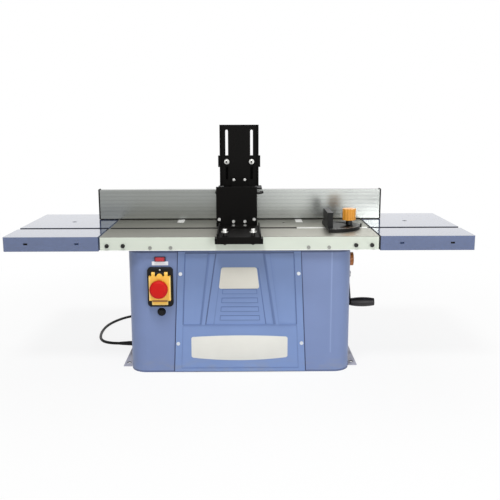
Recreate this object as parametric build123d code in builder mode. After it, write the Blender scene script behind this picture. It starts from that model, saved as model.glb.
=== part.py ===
from build123d import *
import math
import os

# Benchtop spindle moulder, in millimetres.
# X runs along the table to the right, Y to the back and Z up.
# The origin lies on the bench, under the middle of the table and of the foot bolts.

# Fits and sheet
RUN_FIT = 0.05
SLIDE_FIT = 0.1
CLEAR = 0.3
SHEET = 2.0

# Table and wings
TABLE_HEIGHT = 315.0
TABLE_LENGTH = 610.0
TABLE_LAP = 12.0
TABLE_PLATE = 8.0
SKIRT_DEPTH = 31.0
SKIRT_WALL = 6.0
WING_LENGTH = 212.0
WING_SKIRT = 32.0
WING_GAP = 4.0
WING_SPACER_INSET = 15.0
SLOT_Y = -61.0
SLOT_WIDTH = 19.0
SLOT_DEPTH = 10.0
SLOT_FLOOR = 6.0
SEAT_RIB = 6.0
PUNCH_WIDTH = 9.0
PUNCH_HEIGHT = 4.0
PUNCH_DROP = 15.5
PUNCH_PLACES = (51.0, 162.5)
WING_HOLE_R = 3.0
WING_HOLE_REACH = 106.0
WING_HOLE_Y = 44.0
PIN_HOLE_X = 107.0
PIN_HOLE_Y = 20.0
PIN_HOLE_R = 3.0

# Skirt screws
SOCKET_SCREW_PLACES = (255.0, 290.0)
SOCKET_SCREW_DROP = 20.0
SOCKET_HEAD_R = 4.5
PAN_SCREW_PLACES = (151.0, 196.0)
PAN_SCREW_DROP = 24.5
PAN_HEAD_R = 4.0
SCREW_HEAD = 3.5
SCREW_R = 2.5

# Cabinet
CABINET_WIDTH = 500.0
CABINET_DEPTH = 336.0
CABINET_CORNER = 38.0
FLANGE_REACH = 22.0
FLANGE_LENGTH = 258.0
BENCH_HOLE_R = 4.5
BENCH_HOLE_REACH = 12.0
BENCH_HOLE_SPACING = 214.0
WINDOW_LAP = 16.0

# Relief front panel
PANEL_X = -0.5
PANEL_TOP_HALF = 134.5
PANEL_FOOT_HALF = 147.8
PANEL_FOOT_Z = 3.0
PANEL_THICK = 4.0
PANEL_BORDER = 15.0
RELIEF = 2.0
FIELD_FOOT_Z = 113.0
FIELD_TOP_DROP = 12.0
RIB_OUTER_TOP = 67.0
RIB_OUTER_FOOT = 88.0
RIB_INNER_TOP = 52.0
RIB_INNER_FOOT = 77.0
BAR_COUNT = 4
BAR_FOOT_Z = 123.0
BAR_PITCH = 20.3
BAR_HEIGHT = 10.5
BAR_FOOT_HALF = 45.0
BAR_TAPER = 2.0
PANEL_SCREW_TOP = (131.0, 230.0)
PANEL_SCREW_FOOT = (139.0, 69.0)

# Rear panel
REAR_PANEL_HALF = 150.0
REAR_PANEL_FOOT_Z = 30.0
REAR_PANEL_HEIGHT = 220.0
VENT_COUNT = 7
VENT_PITCH = 16.0
VENT_LENGTH = 120.0
VENT_HEIGHT = 5.0

# Spindle, its opening and its motor
SPINDLE_BACK = 63.0
SPINDLE_R = 10.0
OPENING_R = 40.0
INSERT_THICK = 6.0
INSERT_BORE_R = 22.0
OPENING_LEDGE = 5.0
OPENING_BOSS = 10.0
NOSE_RISE = 20.0
COLLET_R = 14.0
COLLET_LENGTH = 26.0
COLLET_GRIP = 18.0
TOOL_BORE_R = 6.0
TOOL_BORE_DEPTH = 24.0
MOTOR_R = 50.0
MOTOR_WALL = 4.0
MOTOR_FOOT_Z = 62.0
MOTOR_HEIGHT = 140.0
MOTOR_NECK_R = 22.0
MOTOR_NECK = 16.0
BEARING_R = 17.0
BEARING_WIDTH = 12.0
ROTOR_R = 26.0
ROTOR_LENGTH = 60.0
ROTOR_Z = 95.0
STATOR_GAP = 1.0
FAN_Z = 166.0
FAN_HUB_R = 14.0
FAN_R = 40.0
FAN_HEIGHT = 10.0
FAN_BLADES = 8

# Lift
COLUMN_X = 78.0
COLUMN_R = 9.0
COLUMN_BOSS = 6.0
CARRIAGE_Z = 112.0
CARRIAGE_PLATE = 14.0
CARRIAGE_BOSS_HEIGHT = 70.0
CARRIAGE_RING = 10.0
CARRIAGE_ARM = 28.0
BRIDGE_Z = 10.0
BRIDGE_THICK = 14.0
SCREW_LIFT_R = 7.0
SCREW_JOURNAL_R = 5.0
NUT_R = 13.0
NUT_HEIGHT = 26.0
SCREW_LEAD = 87.0
CRANK_Z = 186.0
CRANK_SHAFT_R = 6.0
GEAR_TEETH = 16
GEAR_MODULE = 2.0
GEAR_FACE = 8.0
GEAR_BACKLASH = 0.5
GEAR_ADDENDUM = 0.9
GEAR_DEDENDUM = 1.2
GEAR_PRESSURE = 20.0
GEAR_HUB = 8.0
GEAR_HUB_R = 10.0
GEAR_BRACKET_X = 42.0
GEAR_BRACKET_THICK = 10.0
GEAR_BRACKET_WIDTH = 36.0

# Crank and height lock
BUSH_R = 10.0
BUSH_HEAD_R = 14.0
BUSH_HEAD = 5.0
ARM_LENGTH = 74.5
ARM_LEAN = 35.0
ARM_THICK = 5.0
ARM_GAP = 10.0
ARM_NUT_R = 8.0
ARM_NUT = 5.0
ARM_WIDTH = 16.0
GRIP_LENGTH = 57.0
GRIP_END_R = 9.0
GRIP_MID_R = 11.5
GRIP_PIN_R = 4.0
LOCK_Y = -75.0
LOCK_Z = 243.0
LOCK_R = 15.5
LOCK_THICK = 9.0
LOCK_SHANK_R = 4.0
LOCK_SHANK = 26.0
LOCK_HUB_R = 8.0
LOCK_HUB = 6.0

# Fence
FENCE_LEAD = 27.0
FENCE_HEIGHT = 75.0
FENCE_HALF = 353.0
FENCE_GAP = 76.0
FENCE_THICK = 20.0
FENCE_TRAVEL = 30.0
FENCE_OPEN = 30.0
FENCE_CLOSE = 20.0
FLUTE_COUNT = 7
FLUTE_WIDTH = 4.0
FLUTE_DEPTH = 0.8
FENCE_SLOT_X = 147.0
FENCE_SLOT_WIDTH = 17.0
FENCE_SLOT_AHEAD = 94.0
FENCE_SLOT_BEHIND = 53.0
BODY_HALF = 262.0
BODY_WALL = 4.0
FOOT_DEPTH = 60.0
FOOT_THICK = 6.0
HOOD_HALF = 56.0
HOOD_DEPTH = 68.0
HOOD_WALL = 3.0
PORT_R = 30.0
PORT_WALL = 2.5
PORT_FLANGE = 6.0
PORT_LENGTH = 45.0
PORT_RISE = 39.0
CLAMP_BACK = 21.0
CLAMP_STUD_R = 4.0
CLAMP_KNOB_R = 16.0
CLAMP_KNOB = 22.0
SLIDER_FOOT_WIDTH = 26.0
SLIDER_FOOT_THICK = 4.0
SLIDER_FOOT_HALF = 11.0
FENCE_LOCK_X = 222.0
FENCE_LOCK_RISE = 37.0
FENCE_LOCK_R = 15.0
FENCE_LOCK = 18.0

# Pressers
PRESSER_X = -1.4
PRESSER_WIDTH = 95.5
PRESSER_SHEET = 3.0
PRESSER_LIP = 7.0
PRESSER_SLOT_WIDTH = 6.4
PRESSER_SLOT_LENGTH = 122.0
PRESSER_SLOT_SPREAD = 61.0
PRESSER_SLOT_END = 12.0
STRAP_LENGTH = 104.0
STRAP_WIDTH = 28.0
STRAP_THICK = 12.0
PRESSER_BOLT_R = 3.0
NUT_SLEEVE_R = 4.4
NUT_SLEEVE = 8.0
NUT_FLANGE_R = 6.0
FRONT_FLANGE_R = 8.0
NUT_FLANGE = 2.0
NUT_DOME_R = 4.6
NUT_DOME = 6.0
BOLT_TAIL = 4.0
BOLT_HEAD = 5.0
RIVET_R = 3.6
RIVET_HEAD = 2.4
RIVET_SHANK_R = 2.0
RIVET_SPREAD = 27.0
UPPER_PLATE_LEAD = 26.0
UPPER_FOOT_RISE = 87.5
UPPER_PLATE_LENGTH = 149.5
UPPER_BOLT_RISE = 148.0
SHOE_RISE = 70.0
SHOE_LENGTH = 118.0
SHOE_DEPTH = 34.0
SHOE_TIP = 9.0
SHOE_TURN = 2.5
SHOE_TAB_WIDTH = 40.0
SHOE_TAB_HEIGHT = 22.5
UPPER_RIVET_RISE = 15.5
UPRIGHT_WIDTH = 78.0
UPRIGHT_SHEET = 6.0
FRONT_PLATE_LENGTH = 166.0
FRONT_BOLT_INSET = 12.0
PAD_OFFSET = -6.0
PAD_WIDTH = 96.5
PAD_HEIGHT = 93.0
PAD_THICK = 10.0
PAD_RISE = 1.0
PAD_TAB_DEPTH = 38.0
PAD_TAB_HEIGHT = 22.0
PAD_NUT_RISE = 13.0
PAD_CORNER_RISE = 18.0
PAD_CORNER_INSET = 7.0
PAD_RIVET_REACH = 27.0

# Mitre gauge
MITRE_X = 211.0
MITRE_BAR_BACK = 77.0
MITRE_BAR_FRONT = 89.0
HEAD_R = 70.0
HEAD_THICK = 7.0
FACE_LENGTH = 90.0
FACE_HEIGHT = 41.0
FACE_THICK = 12.5
FACE_OFFSET = 10.5
MITRE_KNOB_REACH = 45.0
MITRE_KNOB_R = 15.5
MITRE_KNOB = 26.5
MITRE_HUB_R = 7.5
MITRE_HUB = 11.0
MITRE_STUD_R = 4.0
STUD_GRIP = 14.0
POINTER_HEIGHT = 10.0
POINTER_WIDTH = 3.0
KNOB_FLUTES = 12
KNOB_FLUTE_R = 2.5
MITRE_SWIVEL = 60.0
PIVOT_R = 5.0

# Switch
SWITCH_X = -176.3
SWITCH_Z = 201.2
SWITCH_WIDTH = 56.5
SWITCH_HEIGHT = 88.8
SWITCH_DEPTH = 10.0
SWITCH_CORNER = 8.0
FLAP_WIDTH = 47.5
FLAP_HEIGHT = 55.0
FLAP_THICK = 5.0
FLAP_RIM = 2.5
FLAP_FOOT_Z = 173.0
FLAP_LIP = 9.5
FLAP_LIP_WIDTH = 35.0
FLAP_ARCH_R = 6.5
FLAP_ARCH = 1.5
HINGE_R = 4.0
HINGE_PIN_R = 1.5
HINGE_LUG_HALF = 10.0
KNUCKLE_LENGTH = 7.5
STOP_R = 20.0
STOP_DOME = 13.0
STOP_STEM_R = 8.0
STOP_Z = 200.0
STOP_X_OFFSET = -1.5
STOP_TRAVEL = 3.0
KEY_WIDTH = 13.0
KEY_HEIGHT = 22.0
KEY_SPREAD = 17.0
KEY_PROUD = 1.5
KEY_TRAVEL = 2.0
LAMP_Z = 263.0
LAMP_WIDTH = 23.0
LAMP_HEIGHT = 9.0
LAMP_PROUD = 5.0
RESET_X = -175.5
RESET_Z = 142.5
RESET_R = 7.0
RESET_PROUD = 8.0
RESET_TRAVEL = 4.0

# Mains lead
CORD_R = 3.5
FLOOR_GAP = 0.1
GLAND_Y = -34.0
GLAND_Z = 25.0
BOOT_LENGTH = 46.0
BOOT_R = 6.4
BOOT_TIP_R = 3.9
GLAND_NUT_R = 10.0
GLAND_NUT = 5.0
COIL_X = -60.0
COIL_Y = 245.0
COIL_R = 48.0
COIL_PITCH = 7.5
COIL_TURNS = 2
TIE_THICK = 1.2
TIE_WIDTH = 8.0
TIE_SLACK = 1.2
PLUG_NECK = 36.0
PLUG_NECK_R = 5.5
PLUG_LENGTH = 40.0
PLUG_WIDTH = 34.0
PLUG_CORNER = 8.0
PLUG_PIN_R = 2.4
PLUG_PIN_LENGTH = 19.0
PLUG_PIN_SPREAD = 19.0

# Heights and depths that several pieces share
FRONT_Y = -CABINET_DEPTH / 2
REAR_Y = CABINET_DEPTH / 2
SIDE_X = CABINET_WIDTH / 2
TABLE_END = TABLE_LENGTH / 2
TABLE_DEPTH = CABINET_DEPTH + 2 * TABLE_LAP
TABLE_EDGE = TABLE_DEPTH / 2
PLATE_UNDER = TABLE_HEIGHT - TABLE_PLATE
SLOT_BED = TABLE_HEIGHT - SLOT_DEPTH
SEAT_Z = SLOT_BED - SLOT_FLOOR
SKIRT_FOOT = TABLE_HEIGHT - SKIRT_DEPTH
FIELD_TOP_Z = SEAT_Z - FIELD_TOP_DROP
PORT_Z = TABLE_HEIGHT + PORT_RISE
FENCE_LOCK_Z = TABLE_HEIGHT + FENCE_LOCK_RISE
SPINDLE_Y = REAR_Y - SPINDLE_BACK
CRANK_Y = SPINDLE_Y - SCREW_LEAD
FENCE_Y = SPINDLE_Y - FENCE_LEAD
FENCE_BACK = FENCE_Y + FENCE_THICK
CLAMP_Y = FENCE_BACK + CLAMP_BACK
FENCE_SLOT_FRONT = CLAMP_Y - FENCE_SLOT_AHEAD
FENCE_SLOT_BACK = CLAMP_Y + FENCE_SLOT_BEHIND
UPPER_PLATE_Y = FENCE_Y - UPPER_PLATE_LEAD

os.makedirs("parts", exist_ok=True)


def save(builder, name):
    """Label a finished piece and write its file."""
    builder.part.label = name
    export_step(builder.part, f"parts/{name}.step")


def block(x, y, z, mode=Mode.ADD):
    """Box between the low and high value of each axis."""
    middle = tuple((low + high) / 2 for low, high in (x, y, z))
    size = [high - low for low, high in (x, y, z)]
    with Locations(middle):
        Box(*size, mode=mode)


def rod(axis, span, place, radius, mode=Mode.ADD):
    """Round bar along an axis, from span[0] to span[1], at its place across that axis."""
    low, high = span
    across, turn = {
        "X": (lambda t: (t, *place), (0, 90, 0)),
        "Y": (lambda t: (place[0], t, place[1]), (-90, 0, 0)),
        "Z": (lambda t: (*place, t), (0, 0, 0)),
    }[axis]
    with Locations(across((low + high) / 2)):
        Cylinder(radius, high - low, rotation=turn, mode=mode)


def around(middle, reach):
    """Span of a value, reach to each side of its middle."""
    return (middle - reach, middle + reach)


# Cabinet shell: a folded sheet box, open above and below, with foot flanges
with BuildPart() as cabinet_shell:
    with BuildSketch():
        RectangleRounded(CABINET_WIDTH, CABINET_DEPTH, CABINET_CORNER)
        RectangleRounded(
            CABINET_WIDTH - 2 * SHEET,
            CABINET_DEPTH - 2 * SHEET,
            CABINET_CORNER - SHEET,
            mode=Mode.SUBTRACT,
        )
    extrude(amount=SEAT_Z)
    for side in (-1, 1):
        flange = sorted((side * (SIDE_X - SHEET), side * (SIDE_X + FLANGE_REACH)))
        block(flange, around(0, FLANGE_LENGTH / 2), (0, SHEET))
    with Locations((0, 0, SHEET)):
        with GridLocations(CABINET_WIDTH + 2 * BENCH_HOLE_REACH, BENCH_HOLE_SPACING, 2, 2):
            Hole(BENCH_HOLE_R, depth=SHEET)
    # Window behind the relief panel, and the one behind the rear panel
    block(
        around(PANEL_X, PANEL_TOP_HALF - WINDOW_LAP),
        (FRONT_Y, FRONT_Y + SHEET),
        (PANEL_FOOT_Z + WINDOW_LAP, SEAT_Z - WINDOW_LAP),
        mode=Mode.SUBTRACT,
    )
    block(
        around(0, REAR_PANEL_HALF - WINDOW_LAP),
        (REAR_Y - SHEET, REAR_Y),
        around(REAR_PANEL_FOOT_Z + REAR_PANEL_HEIGHT / 2, REAR_PANEL_HEIGHT / 2 - WINDOW_LAP),
        mode=Mode.SUBTRACT,
    )
    for half, height in (PANEL_SCREW_TOP, PANEL_SCREW_FOOT):
        for side in (-1, 1):
            rod("Y", (FRONT_Y, FRONT_Y + SHEET), (PANEL_X + side * half, height), SCREW_R, Mode.SUBTRACT)
    for place in PAN_SCREW_PLACES:
        for side in (-1, 1):
            for wall in ((FRONT_Y, FRONT_Y + SHEET), (REAR_Y - SHEET, REAR_Y)):
                rod("Y", wall, (side * place, TABLE_HEIGHT - PAN_SCREW_DROP), SCREW_R, Mode.SUBTRACT)
    rod("Y", (FRONT_Y, FRONT_Y + SHEET), (RESET_X, RESET_Z), RESET_R + RUN_FIT, Mode.SUBTRACT)
    right_wall = (SIDE_X - SHEET, SIDE_X)
    rod("X", right_wall, (CRANK_Y, CRANK_Z), BUSH_R, Mode.SUBTRACT)
    rod("X", right_wall, (LOCK_Y, LOCK_Z), LOCK_SHANK_R + RUN_FIT, Mode.SUBTRACT)
    rod("X", (-SIDE_X, SHEET - SIDE_X), (GLAND_Y, GLAND_Z), BOOT_R, Mode.SUBTRACT)
save(cabinet_shell, "cabinet_shell")


def panel_outline(half_top, half_foot, top, foot):
    """Upright four-cornered outline on the front panel, wider at its foot."""
    Polygon(
        (-half_top, top),
        (half_top, top),
        (half_foot, foot),
        (-half_foot, foot),
        align=None,
    )


def panel_half(height):
    """Half width of the front panel at a height."""
    share = (height - PANEL_FOOT_Z) / (SEAT_Z - PANEL_FOOT_Z)
    return PANEL_FOOT_HALF + (PANEL_TOP_HALF - PANEL_FOOT_HALF) * share


# Relief front panel: a border, two sunk fields, two slanted ribs and a barred middle
panel_face = Plane((PANEL_X, FRONT_Y - PANEL_THICK, 0), x_dir=(1, 0, 0), z_dir=(0, -1, 0))
with BuildPart() as front_panel:
    with BuildSketch(panel_face):
        panel_outline(PANEL_TOP_HALF, PANEL_FOOT_HALF, SEAT_Z, PANEL_FOOT_Z)
    extrude(amount=-PANEL_THICK)
    top_half = panel_half(FIELD_TOP_Z) - PANEL_BORDER
    foot_half = panel_half(FIELD_FOOT_Z) - PANEL_BORDER
    with BuildSketch(panel_face):
        panel_outline(top_half, foot_half, FIELD_TOP_Z, FIELD_FOOT_Z)
        Polygon(
            (-RIB_OUTER_TOP, FIELD_TOP_Z),
            (RIB_OUTER_TOP, FIELD_TOP_Z),
            (RIB_OUTER_FOOT, FIELD_FOOT_Z),
            (-RIB_OUTER_FOOT, FIELD_FOOT_Z),
            align=None,
            mode=Mode.SUBTRACT,
        )
    extrude(amount=-RELIEF, mode=Mode.SUBTRACT)
    with BuildSketch(panel_face):
        panel_outline(RIB_INNER_TOP, RIB_INNER_FOOT, FIELD_TOP_Z, FIELD_FOOT_Z)
    extrude(amount=-RELIEF, mode=Mode.SUBTRACT)
    with BuildSketch(panel_face.offset(-RELIEF)):
        for step in range(BAR_COUNT):
            bar_foot = BAR_FOOT_Z + step * BAR_PITCH
            half = BAR_FOOT_HALF - step * BAR_TAPER
            panel_outline(half - BAR_TAPER / 2, half, bar_foot + BAR_HEIGHT, bar_foot)
    extrude(amount=RELIEF / 2)
    # The lower field, below the step under the bars
    low_foot = PANEL_FOOT_Z + PANEL_BORDER / 2
    low_top = FIELD_FOOT_Z - PANEL_BORDER / 4
    with BuildSketch(panel_face):
        panel_outline(
            panel_half(low_top) - PANEL_BORDER,
            panel_half(low_foot) - PANEL_BORDER,
            low_top,
            low_foot,
        )
    extrude(amount=-RELIEF / 2, mode=Mode.SUBTRACT)
    for half, height in (PANEL_SCREW_TOP, PANEL_SCREW_FOOT):
        for side in (-1, 1):
            place = (PANEL_X + side * half, height)
            rod("Y", (FRONT_Y - PANEL_THICK, FRONT_Y), place, SCREW_R, Mode.SUBTRACT)
save(front_panel, "front_panel")

# Rear panel with cooling louvres
with BuildPart() as rear_panel:
    rear_middle = REAR_PANEL_FOOT_Z + REAR_PANEL_HEIGHT / 2
    block(
        around(0, REAR_PANEL_HALF),
        (REAR_Y, REAR_Y + SHEET),
        around(rear_middle, REAR_PANEL_HEIGHT / 2),
    )
    with BuildSketch(Plane((0, REAR_Y, rear_middle), x_dir=(1, 0, 0), z_dir=(0, 1, 0))):
        for side in (-1, 1):
            with Locations((side * REAR_PANEL_HALF / 2, 0)):
                with GridLocations(VENT_LENGTH, VENT_PITCH, 1, VENT_COUNT):
                    SlotOverall(VENT_LENGTH, VENT_HEIGHT)
    extrude(amount=SHEET, mode=Mode.SUBTRACT)
    fillet(rear_panel.edges().filter_by(Axis.Y).group_by(Axis.Z)[0], SHEET)
save(rear_panel, "rear_panel")


def frame_ring(outer_x, outer_y, wall, z, corner=0.0):
    """Upright-walled ring round the origin, between two heights."""
    low, high = z
    with BuildSketch(Plane.XY.offset(low)) as ring:
        if corner:
            RectangleRounded(2 * outer_x, 2 * outer_y, corner)
            RectangleRounded(
                2 * (outer_x - wall), 2 * (outer_y - wall), corner - wall, mode=Mode.SUBTRACT
            )
        else:
            Rectangle(2 * outer_x, 2 * outer_y)
            Rectangle(2 * (outer_x - wall), 2 * (outer_y - wall), mode=Mode.SUBTRACT)
    extrude(ring.sketch, amount=high - low)


# Main table: a ribbed casting with a skirt, a mitre slot and two fence slots
with BuildPart() as table_top:
    block(around(0, TABLE_END), around(0, TABLE_EDGE), (PLATE_UNDER, TABLE_HEIGHT))
    frame_ring(TABLE_END, TABLE_EDGE, SKIRT_WALL, (SKIRT_FOOT, PLATE_UNDER))
    frame_ring(SIDE_X, REAR_Y, SEAT_RIB, (SEAT_Z, PLATE_UNDER), CABINET_CORNER)
    block(
        around(0, TABLE_END),
        around(SLOT_Y, SLOT_WIDTH / 2 + SLOT_FLOOR),
        (SEAT_Z, PLATE_UNDER),
    )
    rod("Z", (SEAT_Z, PLATE_UNDER), (0, SPINDLE_Y), OPENING_R + OPENING_BOSS)
    for side in (-1, 1):
        column = (side * COLUMN_X, SPINDLE_Y)
        rod("Z", (SEAT_Z, PLATE_UNDER), column, COLUMN_R + COLUMN_BOSS)
        rod("Z", (SEAT_Z, PLATE_UNDER), column, COLUMN_R + RUN_FIT, Mode.SUBTRACT)
    block(
        around(0, TABLE_END),
        around(SLOT_Y, SLOT_WIDTH / 2),
        (SLOT_BED, TABLE_HEIGHT),
        mode=Mode.SUBTRACT,
    )
    slot_length = FENCE_SLOT_BACK - FENCE_SLOT_FRONT
    with BuildSketch(Plane.XY.offset(PLATE_UNDER)):
        for side in (-1, 1):
            with Locations((side * FENCE_SLOT_X, (FENCE_SLOT_FRONT + FENCE_SLOT_BACK) / 2)):
                Rectangle(FENCE_SLOT_WIDTH, slot_length)
    extrude(amount=TABLE_PLATE, mode=Mode.SUBTRACT)
    rod("Z", (SEAT_Z, TABLE_HEIGHT), (0, SPINDLE_Y), OPENING_R - OPENING_LEDGE, Mode.SUBTRACT)
    insert_seat = (TABLE_HEIGHT - INSERT_THICK, TABLE_HEIGHT)
    rod("Z", insert_seat, (0, SPINDLE_Y), OPENING_R + RUN_FIT, Mode.SUBTRACT)
    rod("Z", (PLATE_UNDER, TABLE_HEIGHT), (PIN_HOLE_X, PIN_HOLE_Y), PIN_HOLE_R, Mode.SUBTRACT)
    for places, drop in (
        (SOCKET_SCREW_PLACES, SOCKET_SCREW_DROP),
        (PAN_SCREW_PLACES, PAN_SCREW_DROP),
    ):
        for place in places:
            for side in (-1, 1):
                across = (side * place, TABLE_HEIGHT - drop)
                for wall in (-1, 1):
                    skirt = sorted((wall * (TABLE_EDGE - SKIRT_WALL), wall * TABLE_EDGE))
                    rod("Y", skirt, across, SCREW_R, Mode.SUBTRACT)
save(table_top, "table_top")

# Case screws: slotted heads on the panel, socket heads for the wings, pan heads for the cabinet
with BuildPart() as case_screws:
    for half, height in (PANEL_SCREW_TOP, PANEL_SCREW_FOOT):
        for side in (-1, 1):
            place = (PANEL_X + side * half, height)
            face = FRONT_Y - PANEL_THICK
            rod("Y", (face, FRONT_Y + 2 * SHEET), place, SCREW_R - RUN_FIT)
            rod("Y", (face - SCREW_HEAD / 2, face), place, PAN_HEAD_R)
            block(
                around(place[0], PAN_HEAD_R / 2),
                (face - SCREW_HEAD / 2, face - SCREW_HEAD / 4),
                around(place[1], PAN_HEAD_R / 8),
                mode=Mode.SUBTRACT,
            )
    for wall in (-1, 1):
        outer = wall * TABLE_EDGE
        for place in SOCKET_SCREW_PLACES + PAN_SCREW_PLACES:
            socket = place in SOCKET_SCREW_PLACES
            drop = SOCKET_SCREW_DROP if socket else PAN_SCREW_DROP
            head = SCREW_HEAD if socket else SCREW_HEAD / 2
            reach = TABLE_EDGE - SKIRT_WALL - SHEET if socket else REAR_Y - 2 * SHEET
            for side in (-1, 1):
                across = (side * place, TABLE_HEIGHT - drop)
                rod("Y", sorted((outer, wall * reach)), across, SCREW_R - RUN_FIT)
                head_span = sorted((outer, outer + wall * head))
                rod("Y", head_span, across, SOCKET_HEAD_R if socket else PAN_HEAD_R)
                socket_span = sorted((outer + wall * head / 2, outer + wall * head))
                rod("Y", socket_span, across, SCREW_R, Mode.SUBTRACT)
save(case_screws, "case_screws")

# Wings: folded sheet with skirts all round, a channel in line with the mitre slot,
# and a spacer that holds each wing a little off the table's end
for side, wing_name in ((-1, "left_wing"), (1, "right_wing")):
    table_side = side * TABLE_END
    wing_inner = side * (TABLE_END + WING_GAP)
    wing_outer = side * (TABLE_END + WING_LENGTH)
    wing_x = sorted((wing_inner, wing_outer))
    wing_foot = TABLE_HEIGHT - WING_SKIRT
    with BuildPart() as wing:
        block(wing_x, around(0, TABLE_EDGE), (wing_foot, TABLE_HEIGHT))
        fillet(wing.edges().filter_by(Axis.Z).sort_by(SortBy.DISTANCE)[-2:], 2 * SHEET)
        block(
            (wing_x[0] + SHEET, wing_x[1] - SHEET),
            around(0, TABLE_EDGE - SHEET),
            (wing_foot, TABLE_HEIGHT - SHEET),
            mode=Mode.SUBTRACT,
        )
        block(wing_x, around(SLOT_Y, SLOT_WIDTH / 2 + SHEET), (SLOT_BED - SHEET, TABLE_HEIGHT))
        block(
            sorted((table_side, wing_inner)),
            around(0, TABLE_EDGE - WING_SPACER_INSET),
            (wing_foot, TABLE_HEIGHT - 2 * SHEET),
        )
        block(
            sorted((table_side, wing_outer)),
            around(SLOT_Y, SLOT_WIDTH / 2),
            (SLOT_BED, TABLE_HEIGHT),
            mode=Mode.SUBTRACT,
        )
        for place in PUNCH_PLACES:
            block(
                around(table_side + side * place, PUNCH_WIDTH / 2),
                (-TABLE_EDGE, SHEET - TABLE_EDGE),
                around(TABLE_HEIGHT - PUNCH_DROP, PUNCH_HEIGHT / 2),
                mode=Mode.SUBTRACT,
            )
        hole_place = (table_side + side * WING_HOLE_REACH, WING_HOLE_Y)
        rod("Z", (TABLE_HEIGHT - SHEET, TABLE_HEIGHT), hole_place, WING_HOLE_R, Mode.SUBTRACT)
    save(wing, wing_name)

# Insert ring, flush in the table round the spindle
with BuildPart() as insert_ring:
    rod("Z", insert_seat, (0, SPINDLE_Y), OPENING_R)
    rod("Z", insert_seat, (0, SPINDLE_Y), INSERT_BORE_R, Mode.SUBTRACT)
save(insert_ring, "insert_ring")

# Fence body: a welded wall with two feet and a chip hood behind the cutter gap
body_front = FENCE_BACK + SLIDE_FIT
body_back = body_front + BODY_WALL
body_foot = TABLE_HEIGHT + SLIDE_FIT
body_top = TABLE_HEIGHT + FENCE_HEIGHT
hood_back = FENCE_BACK + HOOD_DEPTH
hood_top = body_top + HOOD_WALL
foot_top = body_foot + FOOT_THICK
with BuildPart() as fence_body:
    block(around(0, BODY_HALF), (body_front, body_back), (body_foot, body_top))
    block(around(0, BODY_HALF), (body_front, FENCE_BACK + FOOT_DEPTH), (body_foot, foot_top))
    block(around(0, HOOD_HALF), (body_front, hood_back), (body_foot, hood_top))
    block(
        around(0, HOOD_HALF - HOOD_WALL),
        (body_front, hood_back - HOOD_WALL),
        (body_foot, body_top),
        mode=Mode.SUBTRACT,
    )
    rod("Y", (hood_back - HOOD_WALL, hood_back), (0, PORT_Z), PORT_R, Mode.SUBTRACT)
    for side in (-1, 1):
        stud_place = (side * FENCE_SLOT_X, CLAMP_Y)
        rod("Z", (body_foot, foot_top), stud_place, CLAMP_STUD_R + RUN_FIT, Mode.SUBTRACT)
        lock_low = FENCE_LOCK_X - FENCE_CLOSE - 2 * CLAMP_STUD_R
        lock_high = FENCE_LOCK_X + FENCE_OPEN + 2 * CLAMP_STUD_R
        block(
            sorted((side * lock_low, side * lock_high)),
            (body_front, body_back),
            around(FENCE_LOCK_Z, CLAMP_STUD_R + CLEAR),
            mode=Mode.SUBTRACT,
        )
save(fence_body, "fence_body")

# Fence plates: fluted aluminium extrusions, one each side of the cutter gap
fence_foot = TABLE_HEIGHT + CLEAR
for side, plate_name in ((-1, "left_fence_plate"), (1, "right_fence_plate")):
    with BuildPart() as fence_plate:
        fence_x = sorted((side * FENCE_GAP / 2, side * FENCE_HALF))
        block(fence_x, (FENCE_Y, FENCE_BACK), (fence_foot, fence_foot + FENCE_HEIGHT))
        flute_pitch = FENCE_HEIGHT / (FLUTE_COUNT + 1)
        for step in range(1, FLUTE_COUNT + 1):
            block(
                fence_x,
                (FENCE_Y, FENCE_Y + FLUTE_DEPTH),
                around(fence_foot + step * flute_pitch, FLUTE_WIDTH / 2),
                mode=Mode.SUBTRACT,
            )
        lock_place = (side * FENCE_LOCK_X, FENCE_LOCK_Z)
        rod("Y", (FENCE_BACK - STUD_GRIP, FENCE_BACK), lock_place, CLAMP_STUD_R + RUN_FIT, Mode.SUBTRACT)
    save(fence_plate, plate_name)


def fluted_knob(axis, span, place, radius):
    """Round hand knob with shallow flutes along it and rounded ends."""
    rod(axis, span, place, radius)
    turn = 360 / KNOB_FLUTES
    for step in range(KNOB_FLUTES):
        angle = math.radians(step * turn)
        reach = radius + KNOB_FLUTE_R / 2
        flute = (place[0] + reach * math.cos(angle), place[1] + reach * math.sin(angle))
        rod(axis, span, flute, KNOB_FLUTE_R, Mode.SUBTRACT)


# Lock knobs behind the fence: each screws into its plate through a slot in the wall
for side, lock_name in ((-1, "left_fence_lock"), (1, "right_fence_lock")):
    with BuildPart() as fence_lock:
        lock_place = (side * FENCE_LOCK_X, FENCE_LOCK_Z)
        lock_face = body_back + CLEAR
        fluted_knob("Y", (lock_face, lock_face + FENCE_LOCK), lock_place, FENCE_LOCK_R)
        rod("Y", (FENCE_BACK - STUD_GRIP + CLEAR, lock_face), lock_place, CLAMP_STUD_R)
    save(fence_lock, lock_name)

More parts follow.
